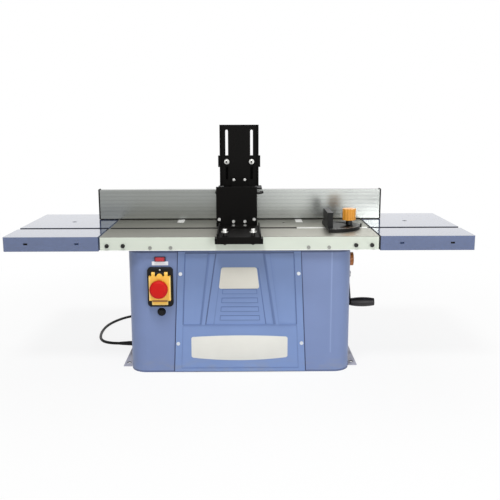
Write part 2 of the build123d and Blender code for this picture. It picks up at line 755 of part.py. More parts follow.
# Slot clamps: zinc sliders in the table's fence slots, each with a foot below and a stud above
knob_foot = foot_top + CLEAR
slider_back = REAR_Y - SEAT_RIB - FENCE_TRAVEL - CLEAR
with BuildPart() as slot_clamps:
    for side in (-1, 1):
        block(
            around(side * FENCE_SLOT_X, FENCE_SLOT_WIDTH / 2 - SLIDE_FIT),
            (FENCE_SLOT_FRONT + SHEET, slider_back),
            (PLATE_UNDER - CLEAR, TABLE_HEIGHT - CLEAR),
        )
        block(
            around(side * FENCE_SLOT_X, SLIDER_FOOT_WIDTH / 2),
            around(CLAMP_Y, SLIDER_FOOT_HALF),
            (PLATE_UNDER - CLEAR - SLIDER_FOOT_THICK, PLATE_UNDER - CLEAR),
        )
        stud_place = (side * FENCE_SLOT_X, CLAMP_Y)
        rod("Z", (PLATE_UNDER, knob_foot + STUD_GRIP), stud_place, CLAMP_STUD_R)
save(slot_clamps, "slot_clamps")

for side, knob_name in ((-1, "left_clamp_knob"), (1, "right_clamp_knob")):
    with BuildPart() as clamp_knob:
        stud_place = (side * FENCE_SLOT_X, CLAMP_Y)
        fluted_knob("Z", (knob_foot, knob_foot + CLAMP_KNOB), stud_place, CLAMP_KNOB_R)
        bore = (knob_foot, knob_foot + STUD_GRIP + CLEAR)
        rod("Z", bore, stud_place, CLAMP_STUD_R + RUN_FIT, Mode.SUBTRACT)
    save(clamp_knob, knob_name)

# Dust port: a collar for a hose, with a flange on the hood's back
with BuildPart() as dust_port:
    rod("Y", (hood_back, hood_back + PORT_LENGTH), (0, PORT_Z), PORT_R + PORT_WALL)
    rod("Y", (hood_back, hood_back + HOOD_WALL), (0, PORT_Z), PORT_R + PORT_FLANGE)
    rod("Y", (hood_back, hood_back + PORT_LENGTH), (0, PORT_Z), PORT_R, Mode.SUBTRACT)
save(dust_port, "dust_port")


def clamp_bolt(axis, face, out, tail, place, flange_r):
    """Bolt from its tail to a sleeve, flange and dome nut that stand out from a face."""
    start = face + out * CLEAR
    sleeve = start + out * NUT_SLEEVE
    flange = sleeve + out * NUT_FLANGE
    rod(axis, sorted((tail, start)), place, PRESSER_BOLT_R)
    rod(axis, sorted((start, sleeve)), place, NUT_SLEEVE_R)
    rod(axis, sorted((sleeve, flange)), place, flange_r)
    rod(axis, sorted((flange, flange + out * NUT_DOME)), place, NUT_DOME_R)


# Upright presser: the bracket on the hood, with its strap bar
bolt_xs = [PRESSER_X + side * PRESSER_SLOT_SPREAD / 2 for side in (-1, 1)]
upper_back = UPPER_PLATE_Y + PRESSER_SHEET
strap_front = upper_back + SLIDE_FIT
strap_back = strap_front + STRAP_THICK
upright_back = strap_back + UPRIGHT_SHEET
upper_bolt_z = TABLE_HEIGHT + UPPER_BOLT_RISE
strap_z = around(upper_bolt_z, STRAP_WIDTH / 2)
upright_x = around(PRESSER_X, UPRIGHT_WIDTH / 2)
with BuildPart() as presser_bracket:
    block(around(PRESSER_X, STRAP_LENGTH / 2), (strap_front, strap_back), strap_z)
    block(upright_x, (strap_back, upright_back), (hood_top, strap_z[1]))
    block(upright_x, (strap_back, hood_back - HOOD_WALL), (hood_top, hood_top + UPRIGHT_SHEET))
    for edge in upright_x:
        with BuildSketch(Plane.YZ.offset(edge if edge < PRESSER_X else edge - UPRIGHT_SHEET)):
            Polygon(
                (upright_back, hood_top + UPRIGHT_SHEET),
                (upright_back + STRAP_LENGTH / 2, hood_top + UPRIGHT_SHEET),
                (upright_back, strap_z[0]),
                align=None,
            )
        extrude(amount=UPRIGHT_SHEET)
    for x in bolt_xs:
        rod("Y", (strap_front, upright_back), (x, upper_bolt_z), PRESSER_BOLT_R + RUN_FIT, Mode.SUBTRACT)
save(presser_bracket, "presser_bracket")

with BuildPart() as upper_clamp_bolts:
    for x in bolt_xs:
        place = (x, upper_bolt_z)
        clamp_bolt("Y", UPPER_PLATE_Y, -1, upright_back, place, NUT_FLANGE_R)
        rod("Y", (upright_back, upright_back + BOLT_HEAD), place, NUT_FLANGE_R)
    fillet(upper_clamp_bolts.edges().group_by(Axis.Y)[0], NUT_DOME_R / 2)
save(upper_clamp_bolts, "upper_clamp_bolts")

# Slotted presser plates share one section: a flat sheet with a lip along each long edge
presser_edges = around(PRESSER_X, PRESSER_WIDTH / 2)
upper_foot = TABLE_HEIGHT + UPPER_FOOT_RISE
upper_top = upper_foot + UPPER_PLATE_LENGTH
rivet_xs = [PRESSER_X + side * RIVET_SPREAD / 2 for side in (-1, 1)]
with BuildPart() as upper_plate:
    block(presser_edges, (UPPER_PLATE_Y, upper_back), (upper_foot, upper_top))
    for low in (presser_edges[0], presser_edges[1] - PRESSER_SHEET):
        block(
            (low, low + PRESSER_SHEET),
            (UPPER_PLATE_Y - PRESSER_LIP, UPPER_PLATE_Y),
            (upper_foot, upper_top),
        )
    slot_middle = upper_top - PRESSER_SLOT_END - PRESSER_SLOT_LENGTH / 2
    with BuildSketch(Plane((PRESSER_X, UPPER_PLATE_Y, slot_middle), x_dir=(1, 0, 0), z_dir=(0, -1, 0))):
        with GridLocations(PRESSER_SLOT_SPREAD, 1, 2, 1):
            SlotOverall(PRESSER_SLOT_LENGTH, PRESSER_SLOT_WIDTH, rotation=90)
    extrude(amount=-PRESSER_SHEET, mode=Mode.SUBTRACT)
    for x in rivet_xs:
        place = (x, upper_foot + UPPER_RIVET_RISE)
        rod("Y", (UPPER_PLATE_Y, upper_back), place, RIVET_SHANK_R, Mode.SUBTRACT)
save(upper_plate, "upper_plate")

# Shoe that presses the work down: a sole with turned-up tips and a tab riveted to the plate's front
shoe_foot = TABLE_HEIGHT + SHOE_RISE
shoe_x = around(PRESSER_X, SHOE_LENGTH / 2)
tab_x = around(PRESSER_X, SHOE_TAB_WIDTH / 2)
tab_front = UPPER_PLATE_Y - PRESSER_SHEET
with BuildPart() as upper_shoe:
    sole = [
        (shoe_x[0], shoe_foot + SHOE_TURN),
        (shoe_x[0] + SHOE_TIP, shoe_foot),
        (shoe_x[1] - SHOE_TIP, shoe_foot),
        (shoe_x[1], shoe_foot + SHOE_TURN),
    ]
    with BuildSketch(Plane((0, upper_back, 0), x_dir=(1, 0, 0), z_dir=(0, -1, 0))):
        Polygon(*sole, *[(x, z + PRESSER_SHEET) for x, z in reversed(sole)], align=None)
    extrude(amount=SHOE_DEPTH)
    block(tab_x, (tab_front, UPPER_PLATE_Y), (shoe_foot, upper_foot + SHOE_TAB_HEIGHT))
    for x in rivet_xs:
        place = (x, upper_foot + UPPER_RIVET_RISE)
        rod("Y", (tab_front, UPPER_PLATE_Y), place, RIVET_SHANK_R, Mode.SUBTRACT)
save(upper_shoe, "upper_shoe")

with BuildPart() as upper_rivets:
    for x in rivet_xs:
        place = (x, upper_foot + UPPER_RIVET_RISE)
        rod("Y", (tab_front, upper_back), place, RIVET_SHANK_R - RUN_FIT)
        rod("Y", (tab_front - RIVET_HEAD, tab_front), place, RIVET_R)
    fillet(upper_rivets.edges().group_by(Axis.Y)[0], RIVET_HEAD / 2)
save(upper_rivets, "upper_rivets")

# Front presser: strap bar on the table's front edge
strap_out = -TABLE_EDGE - STRAP_WIDTH
front_bolt_y = -TABLE_EDGE - FRONT_BOLT_INSET
strap_foot = TABLE_HEIGHT - STRAP_THICK
with BuildPart() as front_strap:
    block(around(PRESSER_X, STRAP_LENGTH / 2), (strap_out, -TABLE_EDGE), (strap_foot, TABLE_HEIGHT))
    for x in bolt_xs:
        rod("Z", (strap_foot, TABLE_HEIGHT), (x, front_bolt_y), PRESSER_BOLT_R + RUN_FIT, Mode.SUBTRACT)
save(front_strap, "front_strap")

front_foot = TABLE_HEIGHT + SLIDE_FIT
front_top = front_foot + PRESSER_SHEET
pad_front = strap_out + FRONT_PLATE_LENGTH
with BuildPart() as front_plate:
    block(presser_edges, (strap_out, pad_front), (front_foot, front_top))
    for low in (presser_edges[0], presser_edges[1] - PRESSER_SHEET):
        block((low, low + PRESSER_SHEET), (strap_out, pad_front), (front_top, front_top + PRESSER_LIP))
    slot_middle = strap_out + PRESSER_SLOT_END + PRESSER_SLOT_LENGTH / 2
    with BuildSketch(Plane((PRESSER_X, slot_middle, front_foot))):
        with GridLocations(PRESSER_SLOT_SPREAD, 1, 2, 1):
            SlotOverall(PRESSER_SLOT_LENGTH, PRESSER_SLOT_WIDTH, rotation=90)
    extrude(amount=PRESSER_SHEET, mode=Mode.SUBTRACT)
    for x in rivet_xs:
        place = (x, pad_front - PAD_RIVET_REACH)
        rod("Z", (front_foot, front_top), place, RIVET_SHANK_R, Mode.SUBTRACT)
save(front_plate, "front_plate")

with BuildPart() as front_clamp_bolts:
    for x in bolt_xs:
        clamp_bolt("Z", front_top, 1, strap_foot - BOLT_TAIL, (x, front_bolt_y), FRONT_FLANGE_R)
    fillet(front_clamp_bolts.edges().group_by(Axis.Z)[-1], NUT_DOME_R / 2)
save(front_clamp_bolts, "front_clamp_bolts")

# Pad board that presses the work to the fence, with its angle on the plate
pad_foot = TABLE_HEIGHT + PAD_RISE
pad_x = around(PRESSER_X + PAD_OFFSET, PAD_WIDTH / 2)
angle_front = pad_front - PRESSER_SHEET
with BuildPart() as front_pad:
    block(pad_x, (pad_front, pad_front + PAD_THICK), (pad_foot, pad_foot + PAD_HEIGHT))
    block(tab_x, (pad_front - PAD_TAB_DEPTH, pad_front), (front_top, front_top + PRESSER_SHEET))
    block(tab_x, (angle_front, pad_front), (front_top, front_top + PAD_TAB_HEIGHT))
    for x in rivet_xs:
        place = (x, pad_front - PAD_RIVET_REACH)
        rod("Z", (front_top, front_top + PRESSER_SHEET), place, RIVET_SHANK_R, Mode.SUBTRACT)
save(front_pad, "front_pad")

# Pad fasteners: rivets through the plate, nuts on the angle and nuts at the board's corners
with BuildPart() as pad_fasteners:
    for x in rivet_xs:
        place = (x, pad_front - PAD_RIVET_REACH)
        tab_top = front_top + PRESSER_SHEET
        rod("Z", (front_foot, tab_top), place, RIVET_SHANK_R - RUN_FIT)
        rod("Z", (tab_top, tab_top + RIVET_HEAD), place, RIVET_R)
        angle_place = (x, TABLE_HEIGHT + PAD_NUT_RISE)
        rod("Y", (angle_front - RIVET_HEAD, angle_front), angle_place, RIVET_R)
    for x in (pad_x[0] + PAD_CORNER_INSET, pad_x[1] - PAD_CORNER_INSET):
        corner = (x, TABLE_HEIGHT + PAD_CORNER_RISE)
        rod("Y", (pad_front - 2 * RIVET_HEAD, pad_front), corner, RIVET_R)
save(pad_fasteners, "pad_fasteners")

# Mitre gauge: bar in the slot, with pivot, clamp stud and pointer
bar_top = TABLE_HEIGHT - SLIDE_FIT
head_foot = TABLE_HEIGHT + SLIDE_FIT
head_top = head_foot + HEAD_THICK
hub_foot = head_top + CLEAR
mitre_knob_foot = hub_foot + MITRE_HUB
stud_x = MITRE_X + MITRE_KNOB_REACH
with BuildPart() as mitre_bar:
    block(
        (MITRE_X - MITRE_BAR_BACK, MITRE_X + MITRE_BAR_FRONT),
        around(SLOT_Y, SLOT_WIDTH / 2 - SLIDE_FIT),
        (SLOT_BED + SLIDE_FIT, bar_top),
    )
    rod("Z", (bar_top, head_top), (MITRE_X, SLOT_Y), PIVOT_R)
    rod("Z", (bar_top, mitre_knob_foot + STUD_GRIP), (stud_x, SLOT_Y), MITRE_STUD_R)
    pointer_x = MITRE_X + HEAD_R + POINTER_WIDTH
    block(
        around(pointer_x, POINTER_WIDTH / 2),
        around(SLOT_Y, POINTER_WIDTH),
        (bar_top, bar_top + POINTER_HEIGHT),
    )
save(mitre_bar, "mitre_bar")

# Mitre head: half disc with an arc slot, and the face plate across it
with BuildPart() as mitre_head:
    with BuildSketch(Plane((MITRE_X, SLOT_Y, head_foot))):
        Circle(HEAD_R)
        with Locations((-HEAD_R / 2 - FACE_OFFSET, 0)):
            Rectangle(HEAD_R, 2 * HEAD_R, mode=Mode.SUBTRACT)
        with BuildLine(mode=Mode.PRIVATE) as arc_slot:
            CenterArc((0, 0), MITRE_KNOB_REACH, -MITRE_SWIVEL, 2 * MITRE_SWIVEL)
        SlotArc(arc_slot.edge(), 2 * (MITRE_STUD_R + CLEAR), mode=Mode.SUBTRACT)
        Circle(PIVOT_R + RUN_FIT, mode=Mode.SUBTRACT)
    extrude(amount=HEAD_THICK)
    block(
        (MITRE_X - FACE_OFFSET, MITRE_X - FACE_OFFSET + FACE_THICK),
        around(SLOT_Y, FACE_LENGTH / 2),
        (head_foot, head_foot + FACE_HEIGHT),
    )
    rod("Z", (head_foot, head_top), (MITRE_X, SLOT_Y), PIVOT_R + RUN_FIT, Mode.SUBTRACT)
save(mitre_head, "mitre_head")

with BuildPart() as mitre_knob:
    knob_place = (stud_x, SLOT_Y)
    fluted_knob("Z", (mitre_knob_foot, mitre_knob_foot + MITRE_KNOB), knob_place, MITRE_KNOB_R)
    rod("Z", (hub_foot, mitre_knob_foot), knob_place, MITRE_HUB_R)
    bore = (hub_foot, mitre_knob_foot + STUD_GRIP + CLEAR)
    rod("Z", bore, knob_place, MITRE_STUD_R + RUN_FIT, Mode.SUBTRACT)
save(mitre_knob, "mitre_knob")

# Switch: housing with two key pockets, a hinge lug and its pin
switch_face = FRONT_Y - SWITCH_DEPTH
hinge_y = switch_face - HINGE_R - CLEAR
hinge_z = FLAP_FOOT_Z + FLAP_HEIGHT + HINGE_R + SHEET / 2
key_z = FLAP_FOOT_Z + FLAP_HEIGHT / 2
key_xs = [SWITCH_X + side * KEY_SPREAD / 2 for side in (-1, 1)]
key_face = switch_face - KEY_PROUD
key_depth = SWITCH_DEPTH / 2
knuckle_end = HINGE_LUG_HALF + CLEAR + KNUCKLE_LENGTH
with BuildPart() as switch_housing:
    with BuildSketch(Plane((SWITCH_X, FRONT_Y, SWITCH_Z), x_dir=(1, 0, 0), z_dir=(0, -1, 0))):
        RectangleRounded(SWITCH_WIDTH, SWITCH_HEIGHT, SWITCH_CORNER)
    extrude(amount=SWITCH_DEPTH)
    chamfer(switch_housing.faces().sort_by(Axis.Y)[0].edges(), SHEET / 2)
    for x in key_xs:
        block(
            around(x, KEY_WIDTH / 2 + SLIDE_FIT),
            (switch_face, switch_face + key_depth + KEY_TRAVEL + CLEAR),
            around(key_z, KEY_HEIGHT / 2 + SLIDE_FIT),
            mode=Mode.SUBTRACT,
        )
    lug_x = around(SWITCH_X, HINGE_LUG_HALF)
    block(lug_x, (hinge_y, switch_face), around(hinge_z, HINGE_R))
    rod("X", lug_x, (hinge_y, hinge_z), HINGE_R)
    rod("X", around(SWITCH_X, knuckle_end), (hinge_y, hinge_z), HINGE_PIN_R)
save(switch_housing, "switch_housing")

# Flap over the keys, hinged on the pin, with a lip to lift it by, a round boss over the hinge lug
# and a hole for the stop button's stem
flap_back = hinge_y
flap_front = flap_back - FLAP_THICK
flap_top = FLAP_FOOT_Z + FLAP_HEIGHT
flap_x = around(SWITCH_X, FLAP_WIDTH / 2)
stop_place = (SWITCH_X + STOP_X_OFFSET, STOP_Z)
with BuildPart() as switch_flap:
    block(flap_x, (flap_front, switch_face - CLEAR), (FLAP_FOOT_Z, flap_top))
    block(
        around(SWITCH_X, FLAP_WIDTH / 2 - FLAP_RIM),
        (flap_back, switch_face - CLEAR),
        (FLAP_FOOT_Z + FLAP_RIM, flap_top),
        mode=Mode.SUBTRACT,
    )
    lip_z = (FLAP_FOOT_Z - FLAP_LIP, FLAP_FOOT_Z)
    block(around(SWITCH_X, FLAP_LIP_WIDTH / 2), (flap_front, flap_back), lip_z)
    arch_y = (flap_front - FLAP_ARCH, hinge_y - HINGE_R - CLEAR)
    rod("Y", arch_y, (SWITCH_X, flap_top), FLAP_ARCH_R)
    for side in (-1, 1):
        knuckle = sorted(
            (SWITCH_X + side * (HINGE_LUG_HALF + CLEAR), SWITCH_X + side * knuckle_end)
        )
        rod("X", knuckle, (hinge_y, hinge_z), HINGE_R)
        block(knuckle, (flap_front, flap_back), (flap_top - SHEET, hinge_z))
        rod("X", knuckle, (hinge_y, hinge_z), HINGE_PIN_R + RUN_FIT, Mode.SUBTRACT)
    rod("Y", (flap_front, flap_back), stop_place, STOP_STEM_R + RUN_FIT, Mode.SUBTRACT)
save(switch_flap, "switch_flap")

# Stop button: a mushroom on a stem through the flap
with BuildPart() as stop_button:
    stop_back = flap_front - STOP_TRAVEL - CLEAR
    rod("Y", (stop_back - STOP_DOME, stop_back), stop_place, STOP_R)
    fillet(stop_button.edges().group_by(Axis.Y)[0], STOP_DOME / 2)
    rod("Y", (stop_back, key_face - STOP_TRAVEL - CLEAR), stop_place, STOP_STEM_R)
save(stop_button, "stop_button")

for x, key_name in zip(key_xs, ("stop_key", "start_key")):
    with BuildPart() as key:
        block(
            around(x, KEY_WIDTH / 2),
            (key_face, switch_face + key_depth),
            around(key_z, KEY_HEIGHT / 2),
        )
        fillet(key.faces().sort_by(Axis.Y)[0].edges(), SHEET / 4)
    save(key, key_name)

with BuildPart() as pilot_lamp:
    block(
        around(SWITCH_X, LAMP_WIDTH / 2),
        (FRONT_Y - LAMP_PROUD, FRONT_Y),
        around(LAMP_Z, LAMP_HEIGHT / 2),
    )
    fillet(pilot_lamp.faces().sort_by(Axis.Y)[0].edges(), SHEET / 2)
save(pilot_lamp, "pilot_lamp")

with BuildPart() as reset_button:
    rod("Y", (FRONT_Y - RESET_PROUD, FRONT_Y + SHEET + RESET_TRAVEL), (RESET_X, RESET_Z), RESET_R)
    fillet(reset_button.edges().group_by(Axis.Y)[0], SHEET)
save(reset_button, "reset_button")

# Spindle, with its rotor and its tool bore
nose_z = TABLE_HEIGHT + NOSE_RISE
shaft_top = nose_z - COLLET_LENGTH + COLLET_GRIP
motor_top = MOTOR_FOOT_Z + MOTOR_HEIGHT
axis_place = (0, SPINDLE_Y)
lower_bearing = (MOTOR_FOOT_Z + MOTOR_WALL, MOTOR_FOOT_Z + MOTOR_WALL + BEARING_WIDTH)
upper_bearing = (motor_top + MOTOR_NECK - BEARING_WIDTH, motor_top + MOTOR_NECK)
rotor_z = (ROTOR_Z, ROTOR_Z + ROTOR_LENGTH)
with BuildPart() as spindle:
    rod("Z", (lower_bearing[0], shaft_top), axis_place, SPINDLE_R)
    rod("Z", rotor_z, axis_place, ROTOR_R)
    rod("Z", (shaft_top - TOOL_BORE_DEPTH, shaft_top), axis_place, TOOL_BORE_R, Mode.SUBTRACT)
save(spindle, "spindle")

# Collet nut over the spindle's nose
with BuildPart() as collet_nut:
    with BuildSketch(Plane((0, SPINDLE_Y, nose_z - COLLET_LENGTH))):
        RegularPolygon(COLLET_R, 6)
    extrude(amount=COLLET_LENGTH)
    grip = (nose_z - COLLET_LENGTH, shaft_top + CLEAR)
    rod("Z", grip, axis_place, SPINDLE_R + RUN_FIT, Mode.SUBTRACT)
    rod("Z", (shaft_top, nose_z), axis_place, TOOL_BORE_R + CLEAR, Mode.SUBTRACT)
save(collet_nut, "collet_nut")

with BuildPart() as fan:
    rod("Z", (FAN_Z, FAN_Z + FAN_HEIGHT), axis_place, FAN_HUB_R)
    rod("Z", (FAN_Z, FAN_Z + SHEET), axis_place, FAN_R)
    with BuildSketch(Plane((0, SPINDLE_Y, FAN_Z + SHEET / 2))):
        with PolarLocations((FAN_R + FAN_HUB_R) / 2 - SHEET, FAN_BLADES):
            Rectangle(FAN_R - FAN_HUB_R, SHEET)
    extrude(amount=FAN_HEIGHT - SHEET)
    rod("Z", (FAN_Z, FAN_Z + FAN_HEIGHT), axis_place, SPINDLE_R + RUN_FIT, Mode.SUBTRACT)
save(fan, "fan")

with BuildPart() as bearings:
    for span in (lower_bearing, upper_bearing):
        rod("Z", span, axis_place, BEARING_R)
        rod("Z", span, axis_place, SPINDLE_R + RUN_FIT, Mode.SUBTRACT)
save(bearings, "bearings")

motor_bore_r = MOTOR_R - MOTOR_WALL
carriage_top = CARRIAGE_Z + CARRIAGE_PLATE
with BuildPart() as motor_housing:
    rod("Z", (MOTOR_FOOT_Z, motor_top), axis_place, MOTOR_R)
    rod("Z", (carriage_top, carriage_top + MOTOR_WALL), axis_place, MOTOR_R + CARRIAGE_RING / 2)
    rod("Z", (motor_top, motor_top + MOTOR_NECK), axis_place, MOTOR_NECK_R)
    cavity = (MOTOR_FOOT_Z + MOTOR_WALL + BEARING_WIDTH, motor_top - MOTOR_WALL)
    rod("Z", cavity, axis_place, motor_bore_r, Mode.SUBTRACT)
    rod("Z", (lower_bearing[0], motor_top), axis_place, BEARING_R + RUN_FIT, Mode.SUBTRACT)
    rod("Z", (motor_top, upper_bearing[1]), axis_place, BEARING_R + RUN_FIT, Mode.SUBTRACT)
save(motor_housing, "motor_housing")

with BuildPart() as stator:
    rod("Z", rotor_z, axis_place, motor_bore_r - RUN_FIT)
    rod("Z", rotor_z, axis_place, ROTOR_R + STATOR_GAP, Mode.SUBTRACT)
save(stator, "stator")

# Lift: carriage that clamps the motor, on two columns, with the lead screw's nut
columns = [(side * COLUMN_X, SPINDLE_Y) for side in (-1, 1)]
screw_place = (0, CRANK_Y)
nut_z = (CARRIAGE_Z, CARRIAGE_Z + NUT_HEIGHT)
boss_foot = carriage_top - CARRIAGE_BOSS_HEIGHT / 2
with BuildPart() as carriage:
    plate_z = (CARRIAGE_Z, carriage_top)
    rod("Z", plate_z, axis_place, MOTOR_R + CARRIAGE_RING)
    block(around(0, CARRIAGE_ARM / 2), (CRANK_Y, SPINDLE_Y), plate_z)
    rod("Z", nut_z, screw_place, NUT_R)
    for column in columns:
        rod("Z", (boss_foot, boss_foot + CARRIAGE_BOSS_HEIGHT), column, COLUMN_R + CARRIAGE_RING)
    rod("Z", (boss_foot, boss_foot + CARRIAGE_BOSS_HEIGHT), axis_place, MOTOR_R + RUN_FIT, Mode.SUBTRACT)
    flange_room = (carriage_top, boss_foot + CARRIAGE_BOSS_HEIGHT)
    rod("Z", flange_room, axis_place, MOTOR_R + CARRIAGE_RING / 2 + CLEAR, Mode.SUBTRACT)
    for column in columns:
        bore = (boss_foot, boss_foot + CARRIAGE_BOSS_HEIGHT)
        rod("Z", bore, column, COLUMN_R + RUN_FIT, Mode.SUBTRACT)
    rod("Z", nut_z, screw_place, SCREW_LIFT_R + RUN_FIT, Mode.SUBTRACT)
save(carriage, "carriage")

with BuildPart() as guide_columns:
    for column in columns:
        rod("Z", (BRIDGE_Z, PLATE_UNDER), column, COLUMN_R)
save(guide_columns, "guide_columns")

bridge_top = BRIDGE_Z + BRIDGE_THICK
with BuildPart() as lower_bridge:
    bridge_z = (BRIDGE_Z, bridge_top)
    reach = COLUMN_R + CARRIAGE_RING
    block(around(0, COLUMN_X + reach), around(SPINDLE_Y, reach), bridge_z)
    block(around(0, CARRIAGE_ARM / 2), (CRANK_Y - CARRIAGE_ARM / 2, SPINDLE_Y), bridge_z)
    for column in columns:
        rod("Z", bridge_z, column, COLUMN_R + RUN_FIT, Mode.SUBTRACT)
    rod("Z", bridge_z, screw_place, SCREW_JOURNAL_R + RUN_FIT, Mode.SUBTRACT)
save(lower_bridge, "lower_bridge")

# Mitre gears: equal bevels whose cones meet where the crank's axis crosses the screw's
pitch_r = GEAR_MODULE * GEAR_TEETH / 2
gear_small = pitch_r - GEAR_FACE * math.cos(math.pi / 4)
cone_length = pitch_r * math.sqrt(2)


def cone_slope(depth):
    """Radius per unit of height of the cone that lies depth outside the pitch cone."""
    return math.tan(math.pi / 4 + math.atan(depth / cone_length))


def tooth_half(depth):
    """Half thickness of a tooth, per unit of height, depth outside the pitch cone."""
    half = (math.pi * GEAR_MODULE / 2 - GEAR_BACKLASH) / 2
    half = half - depth * math.tan(math.radians(GEAR_PRESSURE))
    angle = math.pi / 4 + math.atan(depth / cone_length)
    return half / (math.hypot(cone_length, depth) * math.cos(angle))


def mitre_gear(plane, phase):
    """Bevel gear with its apex at the plane's origin and its axis along the plane's normal."""
    tip = GEAR_ADDENDUM * GEAR_MODULE
    root = -GEAR_DEDENDUM * GEAR_MODULE
    with Locations(plane.offset((gear_small + pitch_r) / 2).location):
        Cone(cone_slope(root) * gear_small, cone_slope(root) * pitch_r, pitch_r - gear_small)
    with Locations(plane.offset(pitch_r + GEAR_HUB / 2).location):
        Cylinder(GEAR_HUB_R, GEAR_HUB)
    for step in range(GEAR_TEETH):
        turned = Plane(plane.location * Location((0, 0, 0), (0, 0, phase + step * 360 / GEAR_TEETH)))
        ends = []
        for height in (gear_small, pitch_r):
            with BuildSketch(turned.offset(height)) as end:
                Polygon(
                    (cone_slope(tip) * height, tooth_half(tip) * height),
                    (cone_slope(root) * height * 0.97, tooth_half(root) * height),
                    (cone_slope(root) * height * 0.97, -tooth_half(root) * height),
                    (cone_slope(tip) * height, -tooth_half(tip) * height),
                    align=None,
                )
            ends.append(end.sketch.face())
        loft(ends, ruled=True)
    with Locations(plane.offset((gear_small + pitch_r + GEAR_HUB) / 2).location):
        Cylinder(CRANK_SHAFT_R + RUN_FIT, pitch_r + GEAR_HUB - gear_small, mode=Mode.SUBTRACT)


gear_apex = (0, CRANK_Y, CRANK_Z)
with BuildPart() as crank_gear:
    mitre_gear(Plane(gear_apex, x_dir=(0, 0, -1), z_dir=(1, 0, 0)), 0)
save(crank_gear, "crank_gear")

with BuildPart() as screw_gear:
    mitre_gear(Plane(gear_apex, x_dir=(1, 0, 0), z_dir=(0, 0, -1)), 180 / GEAR_TEETH)
save(screw_gear, "screw_gear")

with BuildPart() as lead_screw:
    thread_foot = bridge_top + CLEAR
    thread_top = CRANK_Z - pitch_r - GEAR_HUB
    rod("Z", (BRIDGE_Z, thread_foot), screw_place, SCREW_JOURNAL_R)
    rod("Z", (thread_foot, thread_top), screw_place, SCREW_LIFT_R)
    rod("Z", (thread_top, CRANK_Z - gear_small), screw_place, CRANK_SHAFT_R)
save(lead_screw, "lead_screw")

# Bracket under the table that carries the crank shaft's inner end
crank_place = (CRANK_Y, CRANK_Z)
with BuildPart() as gear_bracket:
    bracket_x = (GEAR_BRACKET_X, GEAR_BRACKET_X + GEAR_BRACKET_THICK)
    bracket_y = around(CRANK_Y, GEAR_BRACKET_WIDTH / 2)
    block(bracket_x, bracket_y, (CRANK_Z - GEAR_BRACKET_WIDTH / 2, PLATE_UNDER))
    foot_x = (GEAR_BRACKET_X, GEAR_BRACKET_X + GEAR_BRACKET_WIDTH)
    block(foot_x, bracket_y, (PLATE_UNDER - GEAR_BRACKET_THICK / 2, PLATE_UNDER))
    rod("X", bracket_x, crank_place, CRANK_SHAFT_R + RUN_FIT, Mode.SUBTRACT)
save(gear_bracket, "gear_bracket")

# Crank: bush in the wall, shaft, arm with its pin, and the turning grip
bush_out = SIDE_X + BUSH_HEAD
arm_in = bush_out + ARM_GAP
arm_out = arm_in + ARM_THICK
with BuildPart() as crank_bush:
    rod("X", (SIDE_X - 2 * BUSH_HEAD, SIDE_X), crank_place, BUSH_R - RUN_FIT)
    rod("X", (SIDE_X, bush_out), crank_place, BUSH_HEAD_R)
    rod("X", (SIDE_X - 2 * BUSH_HEAD, bush_out), crank_place, CRANK_SHAFT_R + RUN_FIT, Mode.SUBTRACT)
save(crank_bush, "crank_bush")

with BuildPart() as crank_shaft:
    rod("X", (gear_small, arm_out), crank_place, CRANK_SHAFT_R)
    rod("X", (bush_out + CLEAR, arm_in), crank_place, BUSH_R)
    rod("X", (arm_out, arm_out + ARM_NUT), crank_place, ARM_NUT_R)
    fillet(crank_shaft.edges().group_by(Axis.X)[-1], SHEET)
save(crank_shaft, "crank_shaft")

grip_y = CRANK_Y - ARM_LENGTH * math.sin(math.radians(ARM_LEAN))
grip_z = CRANK_Z - ARM_LENGTH * math.cos(math.radians(ARM_LEAN))
grip_in = arm_out + CLEAR
grip_out = grip_in + GRIP_LENGTH
with BuildPart() as crank_arm:
    with BuildSketch(Plane.YZ.offset(arm_in)):
        with Locations(((CRANK_Y + grip_y) / 2, (CRANK_Z + grip_z) / 2)):
            SlotCenterToCenter(ARM_LENGTH, ARM_WIDTH, rotation=90 - ARM_LEAN)
    extrude(amount=ARM_THICK)
    rod("X", (arm_in, arm_out), crank_place, CRANK_SHAFT_R + RUN_FIT, Mode.SUBTRACT)
    rod("X", (arm_out, grip_out - SHEET), (grip_y, grip_z), GRIP_PIN_R)
save(crank_arm, "crank_arm")

grip_plane = Plane((0, grip_y, grip_z), x_dir=(1, 0, 0), z_dir=(0, -1, 0))
with BuildPart() as crank_grip:
    with BuildSketch(grip_plane):
        with BuildLine():
            ThreePointArc(
                (grip_in, GRIP_END_R),
                ((grip_in + grip_out) / 2, GRIP_MID_R),
                (grip_out, GRIP_END_R),
            )
            Polyline(
                (grip_out, GRIP_END_R),
                (grip_out, GRIP_PIN_R + RUN_FIT),
                (grip_in, GRIP_PIN_R + RUN_FIT),
                (grip_in, GRIP_END_R),
            )
        make_face()
    revolve(axis=Axis((0, grip_y, grip_z), (1, 0, 0)))
save(crank_grip, "crank_grip")

# Height lock knob on the right wall
with BuildPart() as lock_knob:
    lock_place = (LOCK_Y, LOCK_Z)
    lock_face = SIDE_X + CLEAR
    lock_head = lock_face + LOCK_HUB
    fluted_knob("X", (lock_head, lock_head + LOCK_THICK), lock_place, LOCK_R)
    rod("X", (lock_face, lock_head), lock_place, LOCK_HUB_R)
    rod("X", (SIDE_X - LOCK_SHANK, lock_face), lock_place, LOCK_SHANK_R)
save(lock_knob, "lock_knob")

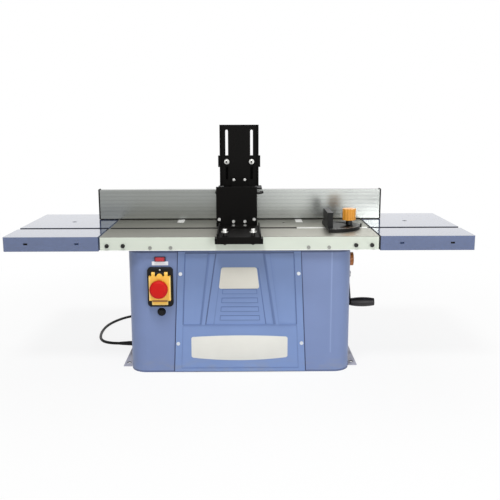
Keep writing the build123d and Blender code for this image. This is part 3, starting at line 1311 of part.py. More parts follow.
# Strain relief: a nut on each side of the left wall and a tapered boot
boot_tip = -SIDE_X - BOOT_LENGTH
gland_place = (GLAND_Y, GLAND_Z)
with BuildPart() as cord_gland:
    rod("X", (-SIDE_X, SHEET - SIDE_X), gland_place, BOOT_R - RUN_FIT)
    with BuildSketch(
        Plane((-SIDE_X - GLAND_NUT, *gland_place), x_dir=(0, 1, 0), z_dir=(1, 0, 0)),
        Plane((SHEET - SIDE_X, *gland_place), x_dir=(0, 1, 0), z_dir=(1, 0, 0)),
    ):
        RegularPolygon(GLAND_NUT_R, 6)
    extrude(amount=GLAND_NUT)
    with Locations(Plane((boot_tip, *gland_place), z_dir=(1, 0, 0)).location):
        Cone(
            BOOT_TIP_R,
            BOOT_R,
            BOOT_LENGTH - GLAND_NUT,
            align=(Align.CENTER, Align.CENTER, Align.MIN),
        )
save(cord_gland, "cord_gland")

# Lead's route: out of the boot, down to the bench, round behind the cabinet to its coil
coil_low = TIE_THICK + CLEAR + CORD_R
coil_high = coil_low + COIL_PITCH
coil_start = (COIL_X - 2 * CORD_R, COIL_Y + COIL_R, coil_low)
bench = CORD_R + FLOOR_GAP
cord_route = [
    (boot_tip, GLAND_Y, GLAND_Z),
    (-304.0, GLAND_Y, GLAND_Z),
    (-317.7, -31.2, 25.0),
    (-331.5, -23.2, 24.5),
    (-342.4, -10.2, 23.5),
    (-351.8, 13.0, 21.0),
    (-360.0, 48.0, 16.0),
    (-367.5, 93.0, 10.0),
    (-371.0, 138.0, 6.0),
    (-369.0, 183.0, 4.2),
    (-356.0, 226.0, bench),
    (-331.0, 267.0, bench),
    (-297.0, 290.0, bench),
    (-255.0, 299.0, bench),
    (-212.0, 300.0, bench),
    (-170.0, 298.5, bench),
    (-128.0, 295.5, 4.0),
    (-97.0, COIL_Y + COIL_R, coil_low),
    coil_start,
]
bend_radii = []
for before, corner, after in zip(cord_route, cord_route[1:], cord_route[2:]):
    run_in = Vector(*corner) - Vector(*before)
    run_out = Vector(*after) - Vector(*corner)
    turn = math.radians(run_in.get_angle(run_out))
    bend_radii.append(0.45 * min(run_in.length, run_out.length) / math.tan(turn / 2))
print("bend radii of the lead:", [round(radius, 1) for radius in bend_radii])

with BuildPart() as power_cord:
    with BuildLine() as cord_path:
        FilletPolyline(*cord_route, radius=bend_radii)
    with BuildSketch(Plane(cord_route[0], z_dir=(-1, 0, 0))):
        Circle(CORD_R)
    sweep(path=cord_path.wire())
cord_length = cord_path.wire().length
cord_section = math.pi * CORD_R**2
print("lead", round(cord_length, 1), "volume against section", power_cord.part.volume / cord_section)
save(power_cord, "power_cord")

# Coil: half turns that spiral in on the lower layer, climb, and spiral out on the upper one
half_radii = [COIL_R - step * COIL_PITCH / 2 for step in range(2 * COIL_TURNS)]
climb_r = COIL_R - COIL_TURNS * COIL_PITCH
climb_reach = math.hypot(climb_r, COIL_PITCH / 2)
with BuildPart() as cord_coil:
    with BuildLine() as coil_path:
        here = Vector(COIL_X, COIL_Y + COIL_R, coil_low)
        heading = 1
        Line(coil_start, here)
        for radius in half_radii:
            there = here - Vector(0, 2 * heading * radius, 0)
            TangentArc(here, there, tangent=(heading, 0, 0))
            here = there
            heading = -heading
        crest = here + Vector(climb_reach, -climb_r, COIL_PITCH / 2)
        there = here + Vector(0, -2 * climb_r, COIL_PITCH)
        first_half = TangentArc(here, crest, tangent=(1, 0, 0))
        TangentArc(crest, there, tangent=first_half % 1)
        here = there
        heading = -heading
        for radius in reversed(half_radii):
            there = here - Vector(0, 2 * heading * radius, 0)
            TangentArc(here, there, tangent=(heading, 0, 0))
            here = there
            heading = -heading
        coil_end = here + Vector(2 * CORD_R * heading, 0, 0)
        Line(here, coil_end)
    with BuildSketch(Plane(coil_start, z_dir=(1, 0, 0))):
        Circle(CORD_R)
    sweep(path=coil_path.wire())
coil_wire = coil_path.wire()
coil_length = coil_wire.length
coil_points = [coil_wire.position_at(step / 800) for step in range(801)]
neighbours = int(800 * 4 * CORD_R / coil_length) + 1
self_gap = min(
    (one - other).length
    for step, one in enumerate(coil_points)
    for other in coil_points[step + neighbours:]
)
print("coil", round(coil_length, 1), "volume against section", cord_coil.part.volume / cord_section)
print("coil's least gap to itself", round(self_gap - 2 * CORD_R, 2))
print("whole lead", round(cord_length + coil_length, 1))
save(cord_coil, "cord_coil")

# Tie round the turns on the coil's left side
with BuildPart() as cord_tie:
    tie_x = (
        COIL_X - half_radii[1] - CORD_R - CLEAR,
        COIL_X - half_radii[-1] + CORD_R + TIE_SLACK,
    )
    tie_y = around(COIL_Y, TIE_WIDTH / 2)
    tie_z = (coil_low - CORD_R - CLEAR, coil_high + CORD_R + CLEAR)
    block(
        (tie_x[0] - TIE_THICK, tie_x[1] + TIE_THICK),
        tie_y,
        (tie_z[0] - TIE_THICK, tie_z[1] + TIE_THICK),
    )
    block(tie_x, tie_y, tie_z, mode=Mode.SUBTRACT)
save(cord_tie, "cord_tie")

# Plug lying beside the coil
plug_back = coil_end.X - PLUG_NECK
plug_front = plug_back - PLUG_LENGTH
with BuildPart() as mains_plug:
    with Locations(Plane((plug_back, coil_end.Y, coil_end.Z), z_dir=(1, 0, 0)).location):
        Cone(PLUG_NECK_R, CORD_R, PLUG_NECK, align=(Align.CENTER, Align.CENTER, Align.MIN))
    block((plug_front, plug_back), around(coil_end.Y, PLUG_WIDTH / 2), (0, 2 * coil_end.Z))
    fillet(mains_plug.edges().filter_by(Axis.X).filter_by(GeomType.LINE), PLUG_CORNER)
    for side in (-1, 1):
        pin_place = (coil_end.Y + side * PLUG_PIN_SPREAD / 2, coil_end.Z)
        rod("X", (plug_front - PLUG_PIN_LENGTH, plug_front), pin_place, PLUG_PIN_R)
save(mains_plug, "mains_plug")
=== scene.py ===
"""Dresses the spindle moulder: its finishes, its trim, its mains lead, the studio and the camera."""
import logging
import math
from dataclasses import dataclass
from enum import Enum
from typing import Any, Mapping, Sequence, Union

import bpy
import numpy as np
from mathutils import Matrix, Vector


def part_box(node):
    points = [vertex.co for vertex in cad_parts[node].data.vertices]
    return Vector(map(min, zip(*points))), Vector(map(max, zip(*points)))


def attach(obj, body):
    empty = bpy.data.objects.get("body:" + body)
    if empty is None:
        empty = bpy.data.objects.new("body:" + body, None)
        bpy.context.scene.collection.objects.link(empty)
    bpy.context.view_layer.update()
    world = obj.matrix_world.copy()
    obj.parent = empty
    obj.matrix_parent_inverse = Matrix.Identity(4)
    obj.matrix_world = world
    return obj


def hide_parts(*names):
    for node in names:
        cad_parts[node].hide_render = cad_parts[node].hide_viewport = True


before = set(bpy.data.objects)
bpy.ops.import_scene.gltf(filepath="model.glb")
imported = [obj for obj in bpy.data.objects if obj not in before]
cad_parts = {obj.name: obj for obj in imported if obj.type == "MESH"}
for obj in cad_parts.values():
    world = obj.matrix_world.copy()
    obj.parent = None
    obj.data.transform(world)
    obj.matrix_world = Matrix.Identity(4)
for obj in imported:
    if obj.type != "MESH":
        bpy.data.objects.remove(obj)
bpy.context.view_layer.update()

Rgb = tuple[float, float, float]
Place = tuple[float, float, float]
Pair = tuple[float, float]
Value = Union["Socket", float]
Grains = tuple["Grain", ...]
Inputs = Mapping[Union[str, int], Any]

LOG = logging.getLogger("spindle_moulder")
MM = 0.001
TABLE_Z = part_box("table_top")[1].z
WALL_Y = -0.168  # the cabinet's front wall
SWITCH_X = -0.1763  # the middle of the switch and of its lamp
CREASE = math.radians(35)  # an edge that turns by more stays sharp
EDGE_STEPS = 4  # rings of points round a plate's front edge


def srgb(red: int, green: int, blue: int) -> Rgb:
    """Turn a display colour into the linear one that a shader takes.

    Args:
        red, green, blue: The colour, each from 0 to 255.

    Returns:
        The same colour as linear numbers from 0 to 1.
    """
    shown = np.array((red, green, blue)) / 255.0
    linear = np.where(shown <= 0.04045, shown / 12.92, ((shown + 0.055) / 1.055) ** 2.4)
    return tuple(linear.tolist())


WHITE = srgb(255, 255, 255)
NAVY_SHADE = srgb(46, 56, 92)
BLUE_SHADE = srgb(80, 102, 150)
PALE_HIGHLIGHT = srgb(150, 168, 206)
CREAM_HIGHLIGHT = srgb(255, 232, 150)
BROWN_SHADE = srgb(120, 62, 14)
MAROON = srgb(70, 14, 34)
KNOB_ORANGE = srgb(238, 164, 54)


@dataclass(frozen=True)
class Socket:
    """An output socket of a shader node, with arithmetic that adds Math nodes."""

    shader: "Nodes"
    output: bpy.types.NodeSocket

    def __add__(self, other: Value) -> "Socket":
        """Return the sum of two values."""
        return self.shader.maths("ADD", self, other)

    def __sub__(self, other: Value) -> "Socket":
        """Return this value less the other."""
        return self.shader.maths("SUBTRACT", self, other)

    def __rsub__(self, other: float) -> "Socket":
        """Return a number less this value."""
        return self.shader.maths("SUBTRACT", other, self)

    def __mul__(self, other: Value) -> "Socket":
        """Return the product of two values."""
        return self.shader.maths("MULTIPLY", self, other)

    def __gt__(self, other: Value) -> "Socket":
        """Return 1 where this value is the larger, and 0 elsewhere."""
        return self.shader.maths("GREATER_THAN", self, other)

    def __lt__(self, other: Value) -> "Socket":
        """Return 1 where this value is the smaller, and 0 elsewhere."""
        return self.shader.maths("LESS_THAN", self, other)

    def __or__(self, other: "Socket") -> "Socket":
        """Return the larger of two values, which joins two masks."""
        return self.shader.maths("MAXIMUM", self, other)

    def __abs__(self) -> "Socket":
        """Return the value without its sign."""
        return self.shader.maths("ABSOLUTE", self)

    __radd__ = __add__
    __rmul__ = __mul__

    def ramp(self, low: float, high: float) -> "Socket":
        """Return 0 below low and 1 above high, with a smooth step between."""
        inputs = {"Value": self, "From Min": low, "From Max": high}
        return self.shader.value("ShaderNodeMapRange", "Result", inputs, interpolation_type="SMOOTHSTEP")

    def line(self, width: float) -> "Socket":
        """Return 1 where this value is within about half a width of 0, and 0 elsewhere."""
        return 1.0 - abs(self).ramp(width * 0.3, width * 0.7)

    def repeat(self, pitch: float) -> "Socket":
        """Return this value counted from the middle of each pitch: v mod p - p / 2."""
        return self.shader.maths("FLOORED_MODULO", self, pitch) - pitch / 2


class Nodes:
    """A node tree that nodes are added to, for a material or for the world."""

    def __init__(self, tree: bpy.types.NodeTree) -> None:
        """Empty a node tree and keep it."""
        self.tree = tree
        tree.nodes.clear()

    def feed(self, target: bpy.types.NodeSocket, value: Any) -> None:
        """Link a node's input, or set it to a constant.

        Args:
            target: The input.
            value: A socket, a number, a vector or a colour.
        """
        if isinstance(value, Socket):
            self.tree.links.new(value.output, target)
        else:
            target.default_value = (*value, 1.0) if target.type == "RGBA" else value

    def node(self, kind: str, inputs: Inputs | None = None, **settings: Any) -> bpy.types.Node:
        """Add one node.

        Args:
            kind: The node's type name.
            inputs: Values or links of its sockets, by name or number.
            settings: Properties that are set first, such as a Math node's operation.

        Returns:
            The new node.
        """
        node = self.tree.nodes.new(kind)
        for name, value in settings.items():
            setattr(node, name, value)
        for key, value in (inputs or {}).items():
            self.feed(node.inputs[key], value)
        return node

    def value(self, kind: str, output: str | int, inputs: Inputs | None = None, **settings: Any) -> Socket:
        """Add one node, as node does, and return one of its outputs."""
        return Socket(self, self.node(kind, inputs, **settings).outputs[output])

    def maths(self, operation: str, *values: Value) -> Socket:
        """Add a Math node that works on the values, and return its result."""
        return self.value("ShaderNodeMath", "Value", dict(enumerate(values)), operation=operation)

    def seen(self) -> Socket:
        """Return 1 for what the camera sees, directly, mirrored or through glass, and 0 for other light."""
        rays = self.node("ShaderNodeLightPath").outputs
        kinds = ("Camera", "Glossy", "Transmission")
        camera, glossy, glass = (Socket(self, rays[f"Is {kind} Ray"]) for kind in kinds)
        return camera | glossy | glass


class Shader(Nodes):
    """A material's node tree, ending in one Principled BSDF, with its colour and roughness so far."""

    colour: Socket
    rough: Value

    def __init__(self, name: str) -> None:
        """Start an empty material.

        Args:
            name: The material's name.
        """
        self.material = bpy.data.materials.new(name)
        self.material.use_nodes = True
        super().__init__(self.material.node_tree)
        self.surface = self.node("ShaderNodeBsdfPrincipled")
        self.lit = Socket(self, self.surface.outputs[0])
        self.out = self.node("ShaderNodeOutputMaterial", {"Surface": self.lit})
        self.place = self.value("ShaderNodeTexCoord", "Object")
        parts = self.node("ShaderNodeSeparateXYZ", {"Vector": self.place})
        self.x, self.y, self.z = (Socket(self, output) for output in parts.outputs)

    def noise(self, grain: float | Place, detail: float = 2.0, finer: float = 0.5) -> Socket:
        """Add noise on the piece's own coordinates.

        Args:
            grain: The noise's size in metres, even or along X, Y and Z.
            detail: How many finer layers it has.
            finer: How strong the finer layers are.

        Returns:
            A value about 0.5, from 0 to 1.
        """
        scale = (1.0 / np.broadcast_to(grain, 3)).tolist()
        spread = self.value("ShaderNodeMapping", "Vector", {"Vector": self.place, "Scale": scale})
        inputs = {"Vector": spread, "Scale": 1.0, "Detail": detail, "Roughness": finer}
        return self.value("ShaderNodeTexNoise", "Fac", inputs, noise_dimensions="3D")

    def blend(self, factor: Value, first: Socket | Rgb, second: Socket | Rgb) -> Socket:
        """Return a mix of two colours: a factor of 0 gives the first and 1 the second."""
        inputs = {"Factor": factor, 6: first, 7: second}
        return self.value("ShaderNodeMix", 2, inputs, data_type="RGBA", blend_type="MIX")

    def cover(self, factor: Value, colour: Socket | Rgb) -> None:
        """Lay a colour over the surface's own, as strongly as the factor says."""
        self.colour = self.blend(factor, self.colour, colour)

    def shade(self, colour: Socket | Rgb, tone: Value) -> Socket:
        """Return a colour made lighter or darker by a value near 1."""
        return self.value("ShaderNodeVectorMath", "Vector", {"Scale": tone, 0: colour}, operation="SCALE")

    def reach(self, across: Socket, along: Socket) -> Socket:
        """Return the distance from an axis: sqrt(across^2 + along^2)."""
        return self.maths("SQRT", across * across + along * along)

    def spot(self, middle: Pair, radius: float) -> Socket:
        """Return 1 near an upright axis, and its mirror images, and 0 elsewhere."""
        return self.reach(abs(self.x) - middle[0], abs(self.y) - middle[1]) < radius

    def relief(self, height: Socket, depth: float) -> Socket:
        """Return the normal of a surface whose height, from 0 to 1, stands for a depth in metres."""
        return self.value("ShaderNodeBump", "Normal", {"Height": height, "Distance": depth, "Strength": 1.0})

    def done(self, **sockets: Any) -> bpy.types.Material:
        """Set the Principled BSDF's sockets.

        Args:
            sockets: Values or links, named as the sockets are with _ for a space.

        Returns:
            The material.
        """
        for name, value in sockets.items():
            self.feed(self.surface.inputs[name.replace("_", " ")], value)
        return self.material


@dataclass(frozen=True)
class Line:
    """A line drawn on a front: its colour, how strongly it covers what lies under it, and its width."""

    colour: Rgb
    strength: float
    width: float

    def mask(self, shader: Shader, across: Socket) -> Socket:
        """Return 1 on the line and 0 elsewhere, by the height and the distance to the right of a middle."""
        raise NotImplementedError


@dataclass(frozen=True)
class Slant(Line):
    """A line from a foot to a top, each a distance and a height, mostly with its mirror image."""

    foot: Pair
    top: Pair
    one_side: bool = False

    def mask(self, shader: Shader, across: Socket) -> Socket:
        """Return 1 where |across| = foot + (z - foot) slope, and 0 elsewhere.

        Args:
            shader: The shader that draws the line.
            across: The distance to the right of the middle.

        Returns:
            The mask.
        """
        slope = (self.top[0] - self.foot[0]) / (self.top[1] - self.foot[1])
        half = (shader.z - self.foot[1]) * slope + self.foot[0]
        off = (across if self.one_side else abs(across)) - half
        return off.line(self.width) * (shader.z > self.foot[1]) * (shader.z < self.top[1])


@dataclass(frozen=True)
class Level(Line):
    """A level line to both sides of the middle."""

    half: float
    height: float

    def mask(self, shader: Shader, across: Socket) -> Socket:
        """Return 1 where z = height and |across| < half, and 0 elsewhere."""
        return (shader.z - self.height).line(self.width) * (abs(across) < self.half)


@dataclass(frozen=True)
class Bars(Line):
    """Painted shade along the edges of a row of raised bars that grow narrower upwards."""

    count: int
    foot: float
    pitch: float
    tall: float
    half: float
    taper: float

    def mask(self, shader: Shader, across: Socket) -> Socket:
        """Return 1 where max(|across| - half, |z - bar| - tall / 2) = 0, and 0 elsewhere.

        Args:
            shader: The shader that draws the bars.
            across: The distance to the right of the middle.

        Returns:
            The mask.
        """
        climb = shader.z - (self.foot - (self.pitch - self.tall) / 2)
        beside = abs(across) - (self.half - climb * (self.taper / self.pitch))
        edge = beside | (abs(climb.repeat(self.pitch)) - self.tall / 2)
        return edge.line(self.width) * (climb > 0.0) * (climb < self.count * self.pitch)


@dataclass(frozen=True)
class Grain:
    """A noise of a finish: its size, its finer layers, and what it adds to tone, roughness and relief.

    A step leaves only its peaks, and a stain is a colour that covers what lies under those.
    """

    size: float | Place
    detail: float = 3.0
    finer: float = 0.5
    tone: float = 0.0
    dull: float = 0.0
    depth: float = 0.0
    step: Pair | None = None
    stain: Rgb | None = None
    cover: float = 0.0

    def noise(self, shader: Shader) -> Socket:
        """Return the noise, from 0 to 1."""
        noise = shader.noise(self.size, self.detail, self.finer)
        return noise.ramp(*self.step) if self.step else noise


@dataclass(frozen=True)
class Plies(Grain):
    """Pressed plates in place of a noise: a wave along Z, as long as its size."""

    def noise(self, shader: Shader) -> Socket:
        """Return the wave: (1 + sin(2 pi z / size)) / 2."""
        return shader.maths("SINE", shader.z * (2 * math.pi / self.size)) * 0.5 + 0.5


@dataclass(frozen=True)
class Flutes(Grain):
    """Painted highlight and shade of flutes along X, in place of a noise, each flute as tall as its size: a
    painted highlight at its foot and painted shade at its top.
    """

    foot: float = 0.0
    pitch: float = 0.01
    fade: Pair = (0.2 * MM, 1.8 * MM)
    # painted highlight along each flute's foot, and painted shade along its top
    light: float = 0.05
    dark: float = 0.08

    def noise(self, shader: Shader) -> Socket:
        """Return 0.5, more along each flute's lower edge as a painted highlight and less along its upper one
        as painted shade.

        Args:
            shader: The shader that draws them.

        Returns:
            The tone.
        """
        place = (shader.z - (self.foot + self.pitch / 2)).repeat(self.pitch)
        edge = 1.0 - abs(abs(place) - self.size / 2).ramp(*self.fade)
        return edge * (self.light - (place > 0.0) * (self.light + self.dark)) + 0.5


@dataclass(frozen=True)
class Coat:
    """A finish whose tone, roughness and relief follow its grains, with marks and lines laid over it."""

    colour: Rgb
    roughness: float = 0.42
    metallic: float = 0.0
    specular: float = 0.5
    level: float = 1.0
    middle: float = 0.0
    front: float = 1.0
    lines: tuple[Line, ...] = ()
    grains: Grains = ()

    def layers(self) -> Grains:
        """Return the finish's grains."""
        return self.grains

    def mark(self, shader: Shader) -> None:
        """Lay the finish's own marks over the shader's colour and roughness."""

    def material(self, name: str) -> bpy.types.Material:
        """Make the finish's material: its tone is level + the sum of share (noise - 1/2) over its grains.

        Args:
            name: The material's name.

        Returns:
            The material.
        """
        shader = Shader(name)
        shader.done(Metallic=self.metallic, Specular_IOR_Level=self.specular)
        layers = [(grain, grain.noise(shader)) for grain in self.layers()]
        level = self.level - sum(grain.tone for grain, _ in layers) / 2
        tone = sum((noise * grain.tone for grain, noise in layers if grain.tone), level)
        shader.colour = shader.shade(self.colour, tone)
        shader.rough = sum((noise * grain.dull for grain, noise in layers if grain.dull), self.roughness)
        for grain, noise in layers:
            if grain.stain:
                shader.cover(noise * grain.cover, grain.stain)
            if grain.depth:
                shader.done(Normal=shader.relief(noise, grain.depth))
        self.mark(shader)
        for line in self.lines:
            drawn = line.mask(shader, shader.x - self.middle) * (shader.y < self.front)
            shader.cover(drawn * line.strength, line.colour)
        return shader.done(Base_Color=shader.colour, Roughness=shader.rough)


@dataclass(frozen=True)
class PowderCoat(Coat):
    """Baked paint: orange-peel skin, tone that drifts, painted shade that darkens it upwards, pale flanges
    and dust low down.
    """

    roughness: float = 0.36
    middle: float = -0.0005
    front: float = -0.166
    # painted shade: how much darker the paint grows upwards, between two heights
    shade_fall: float = 0.08
    shade_fall_z: Pair = (0.11, 0.24)
    flange: Rgb = srgb(176, 176, 190)
    flange_x: float = 0.2505
    dust: Rgb = srgb(150, 150, 150)
    dust_z: float = 0.05
    speck: Grain = Grain(0.004, 4.0, 0.7, step=(0.66, 0.78), cover=0.06)
    patch: Grain = Grain((0.03, 0.03, 0.012), 4.0, dull=0.25, step=(0.42, 0.75), cover=0.35)
    # painted shadow: a dark spot a little wider than each bolt hole of the feet
    hole: Pair = (0.262, 0.107)
    hole_r: float = 0.0052
    hole_shadow_colour: Rgb = srgb(30, 30, 36)
    grains: Grains = (Grain(0.0016, depth=0.00004), Grain((0.09, 0.09, 0.07), 2.0, tone=0.16, dull=0.10))

    def mark(self, shader: Shader) -> None:
        """Darken it upwards as painted shade, and lay on the flanges' tone, the dust and a painted shadow
        over the bolt holes.

        Args:
            shader: The finish's shader.
        """
        # painted shade: darker upwards
        shader.colour = shader.shade(shader.colour, 1.0 - shader.z.ramp(*self.shade_fall_z) * self.shade_fall)
        shader.cover(abs(shader.x) > self.flange_x, self.flange)
        low = (1.0 - shader.z.ramp(0.0, self.dust_z)) * self.patch.noise(shader)
        shader.cover(low * self.patch.cover + self.speck.noise(shader) * self.speck.cover, self.dust)
        # painted shadow over the bolt holes
        shader.cover(shader.spot(self.hole, self.hole_r), self.hole_shadow_colour)
        shader.rough = shader.rough + low * self.patch.dull


@dataclass(frozen=True)
class WingCoat(Coat):
    """Smooth gloss paint on the wings."""

    colour: Rgb = srgb(72, 90, 132)
    roughness: float = 0.14
    specular: float = 0.8
    # dark metal without gloss: bare metal darkened as painted shade in the mitre slot, painted shadow in the
    # hole and at the right-hand joint
    bare: Rgb = srgb(38, 42, 56)
    bare_dull: float = 0.8
    slot_y: Pair = (-0.0716, -0.0504)
    slot_top: float = TABLE_Z - 0.3 * MM
    joint_x: float = 0.3092
    # painted shadow: a dark spot a little wider than the hole
    hole: Pair = (0.411, 0.044)
    hole_r: float = 0.0056
    grains: Grains = (
        Grain((0.08, 0.08, 0.05), 2.0, tone=0.16, dull=0.06),
        Grain((0.05, 0.003, 0.05), 4.0, 0.6, dull=0.06, step=(0.55, 0.8)),
        Grain(0.004, 2.0, depth=0.00001),
    )

    def mark(self, shader: Shader) -> None:
        """Paint dark metal without gloss: bare metal darkened as painted shade in the mitre slot, and painted
        shadow in the hole and at the right-hand joint.

        Args:
            shader: The finish's shader.
        """
        within = (shader.y > self.slot_y[0]) * (shader.y < self.slot_y[1])
        slot = within * (shader.z < self.slot_top)
        hole = shader.spot(self.hole, self.hole_r) * (shader.y > 0.0)
        # painted shade and shadow over the slot, the hole and the right-hand joint
        bare = slot | hole | (shader.x > 0.0) * (shader.x < self.joint_x)
        shader.cover(bare, self.bare)
        shader.rough = shader.rough + bare * self.bare_dull
        shader.done(Coat_Weight=1.0 - bare, Coat_Roughness=0.06)


@dataclass(frozen=True)
class GroundTable(Coat):
    """Iron table: a ground top with lengthwise lines, pale paint round its skirt and dark unpainted iron
    elsewhere, darkened as painted shade.
    """

    colour: Rgb = srgb(148, 146, 136)
    roughness: float = 0.27
    level: float = 0.92
    ground: Grain = Grain((0.25, 0.0007, 0.02), 4.0, 0.65, tone=0.22, dull=0.16)
    ground_z: float = TABLE_Z - 0.4 * MM
    paint: Rgb = srgb(210, 217, 204)
    smear: Grain = Grain((0.08, 0.08, 0.02), tone=0.10, dull=0.12)
    paint_roughness: float = 0.42
    # dark unpainted iron, darkened as painted shade under the top and as painted shadow in the hole
    raw_iron_and_shade: Rgb = srgb(40, 40, 40)
    # painted shade along the skirt's top edge
    edge: Rgb = srgb(96, 96, 90)
    edge_shade_fade: Pair = (0.8 * MM, 1.6 * MM)
    edge_shade_cover: float = 0.8
    # painted highlight along the skirt's foot
    foot_highlight_fade: Pair = (0.029, 0.0298)
    foot_highlight_cover: float = 0.6
    cast: Grain = Grain(0.0022, depth=0.00004)
    ground_relief: float = 0.4
    half: Pair = (0.3045, 0.1795)
    hole: Pair = (0.107, 0.020)
    hole_r: float = 0.0036
    grains: Grains = (
        ground,
        Grain((0.12, 0.05, 0.02), tone=0.20),
        Grain((0.05, 0.03, 0.02), 4.0, 0.6, tone=-0.10, dull=0.12, step=(0.55, 0.75)),
    )

    def mark(self, shader: Shader) -> None:
        """Paint the skirt, with painted shade along its top edge and a painted highlight along its foot, and
        lay dark unpainted iron inside it, darkened as painted shade, with a painted shadow in the hole.

        Args:
            shader: The finish's shader.
        """
        ground = shader.z > self.ground_z
        below, under = 1.0 - ground, TABLE_Z - shader.z
        smear = self.smear.noise(shader)
        coat = shader.shade(self.paint, smear * self.smear.tone + (1.0 - self.smear.tone / 2))
        # painted shade along the top edge, then a painted highlight along the foot
        coat = shader.blend((1.0 - under.ramp(*self.edge_shade_fade)) * self.edge_shade_cover, coat, self.edge)
        coat = shader.blend(under.ramp(*self.foot_highlight_fade) * self.foot_highlight_cover, coat, WHITE)
        outside = ((abs(shader.x) - self.half[0]) | (abs(shader.y) - self.half[1])) > 0.0
        shader.cover(below, shader.blend(outside, self.raw_iron_and_shade, coat))
        # painted shadow in the hole
        hole = shader.spot(self.hole, self.hole_r) * (shader.x > 0.0) * (shader.y > 0.0)
        shader.cover(hole, self.raw_iron_and_shade)
        shader.rough = ground * shader.rough + below * (smear * self.smear.dull + self.paint_roughness)
        height = ground * self.ground.noise(shader) * self.ground_relief + below * self.cast.noise(shader)
        shader.done(Metallic=ground, Normal=shader.relief(height, self.cast.depth))


@dataclass(frozen=True)
class DrawnMetal(Coat):
    """Bare metal with fine lines along one axis, as an extrusion or a ground bar has."""

    roughness: float = 0.28
    metallic: float = 1.0
    grain: float | Place = 0.004
    detail: float = 4.0
    contrast: float = 0.18
    streak: float = 0.14
    depth: float = 0.00003
    flutes: tuple[Flutes, ...] = ()
    dark: Pair = (-1.0, -1.0)
    dark_colour: Rgb = srgb(40, 40, 38)

    def layers(self) -> Grains:
        """Return its lines, its clouds and the painted highlight and shade of its flutes."""
        lines = Grain(self.grain, self.detail, 0.6, self.contrast, self.streak, self.depth)
        return lines, Grain((0.06, 0.06, 0.03), tone=0.12, dull=0.08), *self.flutes

    def mark(self, shader: Shader) -> None:
        """Darken it between two heights."""
        shader.cover((shader.z > self.dark[0]) * (shader.z < self.dark[1]), self.dark_colour)


class Way(Enum):
    """The way that a row of bolts points."""

    DEEP = "along Y"
    UPRIGHT = "along Z"


@dataclass(frozen=True)
class ClampBolts(Coat):
    """Clamp bolts: bright dome nuts with a dark socket, over blackened sleeves and tails."""

    colour: Rgb = srgb(222, 222, 218)
    roughness: float = 0.22
    metallic: float = 1.0
    level: float = 0.97
    way: Way = Way.DEEP
    dark: Pair = (0.0, 0.0)
    centre: Pair = (0.0, 0.0)
    spread: float = 0.0305
    socket: float = 0.0024
    black: Rgb = srgb(26, 25, 24)
    black_dull: float = 0.16
    black_metallic: float = 0.3
    grains: Grains = (Grain(0.003, 4.0, 0.65, tone=0.3, dull=0.14, depth=0.00002),)

    def mark(self, shader: Shader) -> None:
        """Blacken the sleeves, which lie between two values along the bolts, and the sockets.

        Args:
            shader: The finish's shader.
        """
        along, beside = (shader.y, shader.z) if self.way is Way.DEEP else (shader.z, shader.y)
        across = abs(shader.x - self.centre[0]) - self.spread
        sleeve = (along > self.dark[0]) * (along < self.dark[1])
        dark = sleeve | (shader.reach(across, beside - self.centre[1]) < self.socket)
        shader.cover(dark, self.black)
        shader.rough = shader.rough + dark * self.black_dull
        shader.done(Metallic=1.0 - dark * (1.0 - self.black_metallic))


@dataclass(frozen=True)
class BlackSheet(Coat):
    """Satin black paint on sheet steel, with pale rub marks across it."""

    colour: Rgb = srgb(13, 12, 11)
    specular: float = 0.07
    rub: Rgb = srgb(80, 78, 76)

    def layers(self) -> Grains:
        """Return its drift, its rub marks and its skin."""
        size = (0.0025, 0.0025, 0.030)
        rubbed = Grain(size, 4.0, 0.7, dull=-0.06, step=(0.70, 0.80), stain=self.rub, cover=0.22)
        return Grain(0.03, tone=0.5, dull=0.14), rubbed, Grain(0.0014, depth=0.00004)


@dataclass(frozen=True)
class Moulded(Coat):
    """Moulded plastic: a sparked grain, a drift of tone and a little gloss."""

    grain: float = 0.0007
    depth: float = 0.00005
    gloss: float = 0.0
    shank: float | None = None
    black: Rgb = srgb(22, 20, 18)

    def layers(self) -> Grains:
        """Return its spark and its drift."""
        spark = Grain(self.grain, finer=0.6, dull=0.10, depth=self.depth)
        return spark, Grain(0.02, tone=0.18, dull=0.06)

    def mark(self, shader: Shader) -> None:
        """Give it its gloss, and blacken a shank below one height, which has none.

        Args:
            shader: The finish's shader.
        """
        shader.done(Coat_Weight=self.gloss, Coat_Roughness=0.12)
        if self.shank:
            shank = shader.z < self.shank
            shader.cover(shank, self.black)
            shader.done(Coat_Weight=self.gloss - shank * self.gloss)


@dataclass(frozen=True)
class BarePlate(Coat):
    """Unprinted plate: pale satin lacquer with a faint rolled grain."""

    roughness: float = 0.30
    grains: Grains = (
        Grain((0.06, 0.06, 0.0009), tone=0.06, depth=0.00001),
        Grain(0.03, tone=0.08, dull=0.12),
    )


@dataclass(frozen=True)
class GraduatedHead(Coat):
    """Black mitre head with a pale engraved arc of angle marks near its round edge."""

    colour: Rgb = srgb(17, 17, 17)
    roughness: float = 0.38
    specular: float = 0.2
    pivot: Pair = (0.211, -0.061)
    arc: Pair = (0.063, 0.0685)
    step: float = 5.0
    tick: Rgb = srgb(196, 196, 190)
    tick_half: Pair = (0.28, 0.42)
    tick_cover: float = 0.85
    grains: Grains = (Grain(0.02, tone=0.5, dull=0.16), Grain(0.0012, depth=0.00004))

    def mark(self, shader: Shader) -> None:
        """Draw a mark at each step of degrees round the pivot, between the arc's two radii.

        Args:
            shader: The finish's shader.
        """
        across, along = shader.x - self.pivot[0], shader.y - self.pivot[1]
        reach = shader.reach(across, along)
        angle = shader.maths("ARCTAN2", along, across) * (180 / math.pi) + 360.0
        near = abs((angle + self.step / 2).repeat(self.step))
        band = (reach > self.arc[0]) * (reach < self.arc[1])
        shader.cover(band * (1.0 - near.ramp(*self.tick_half)) * self.tick_cover, self.tick)


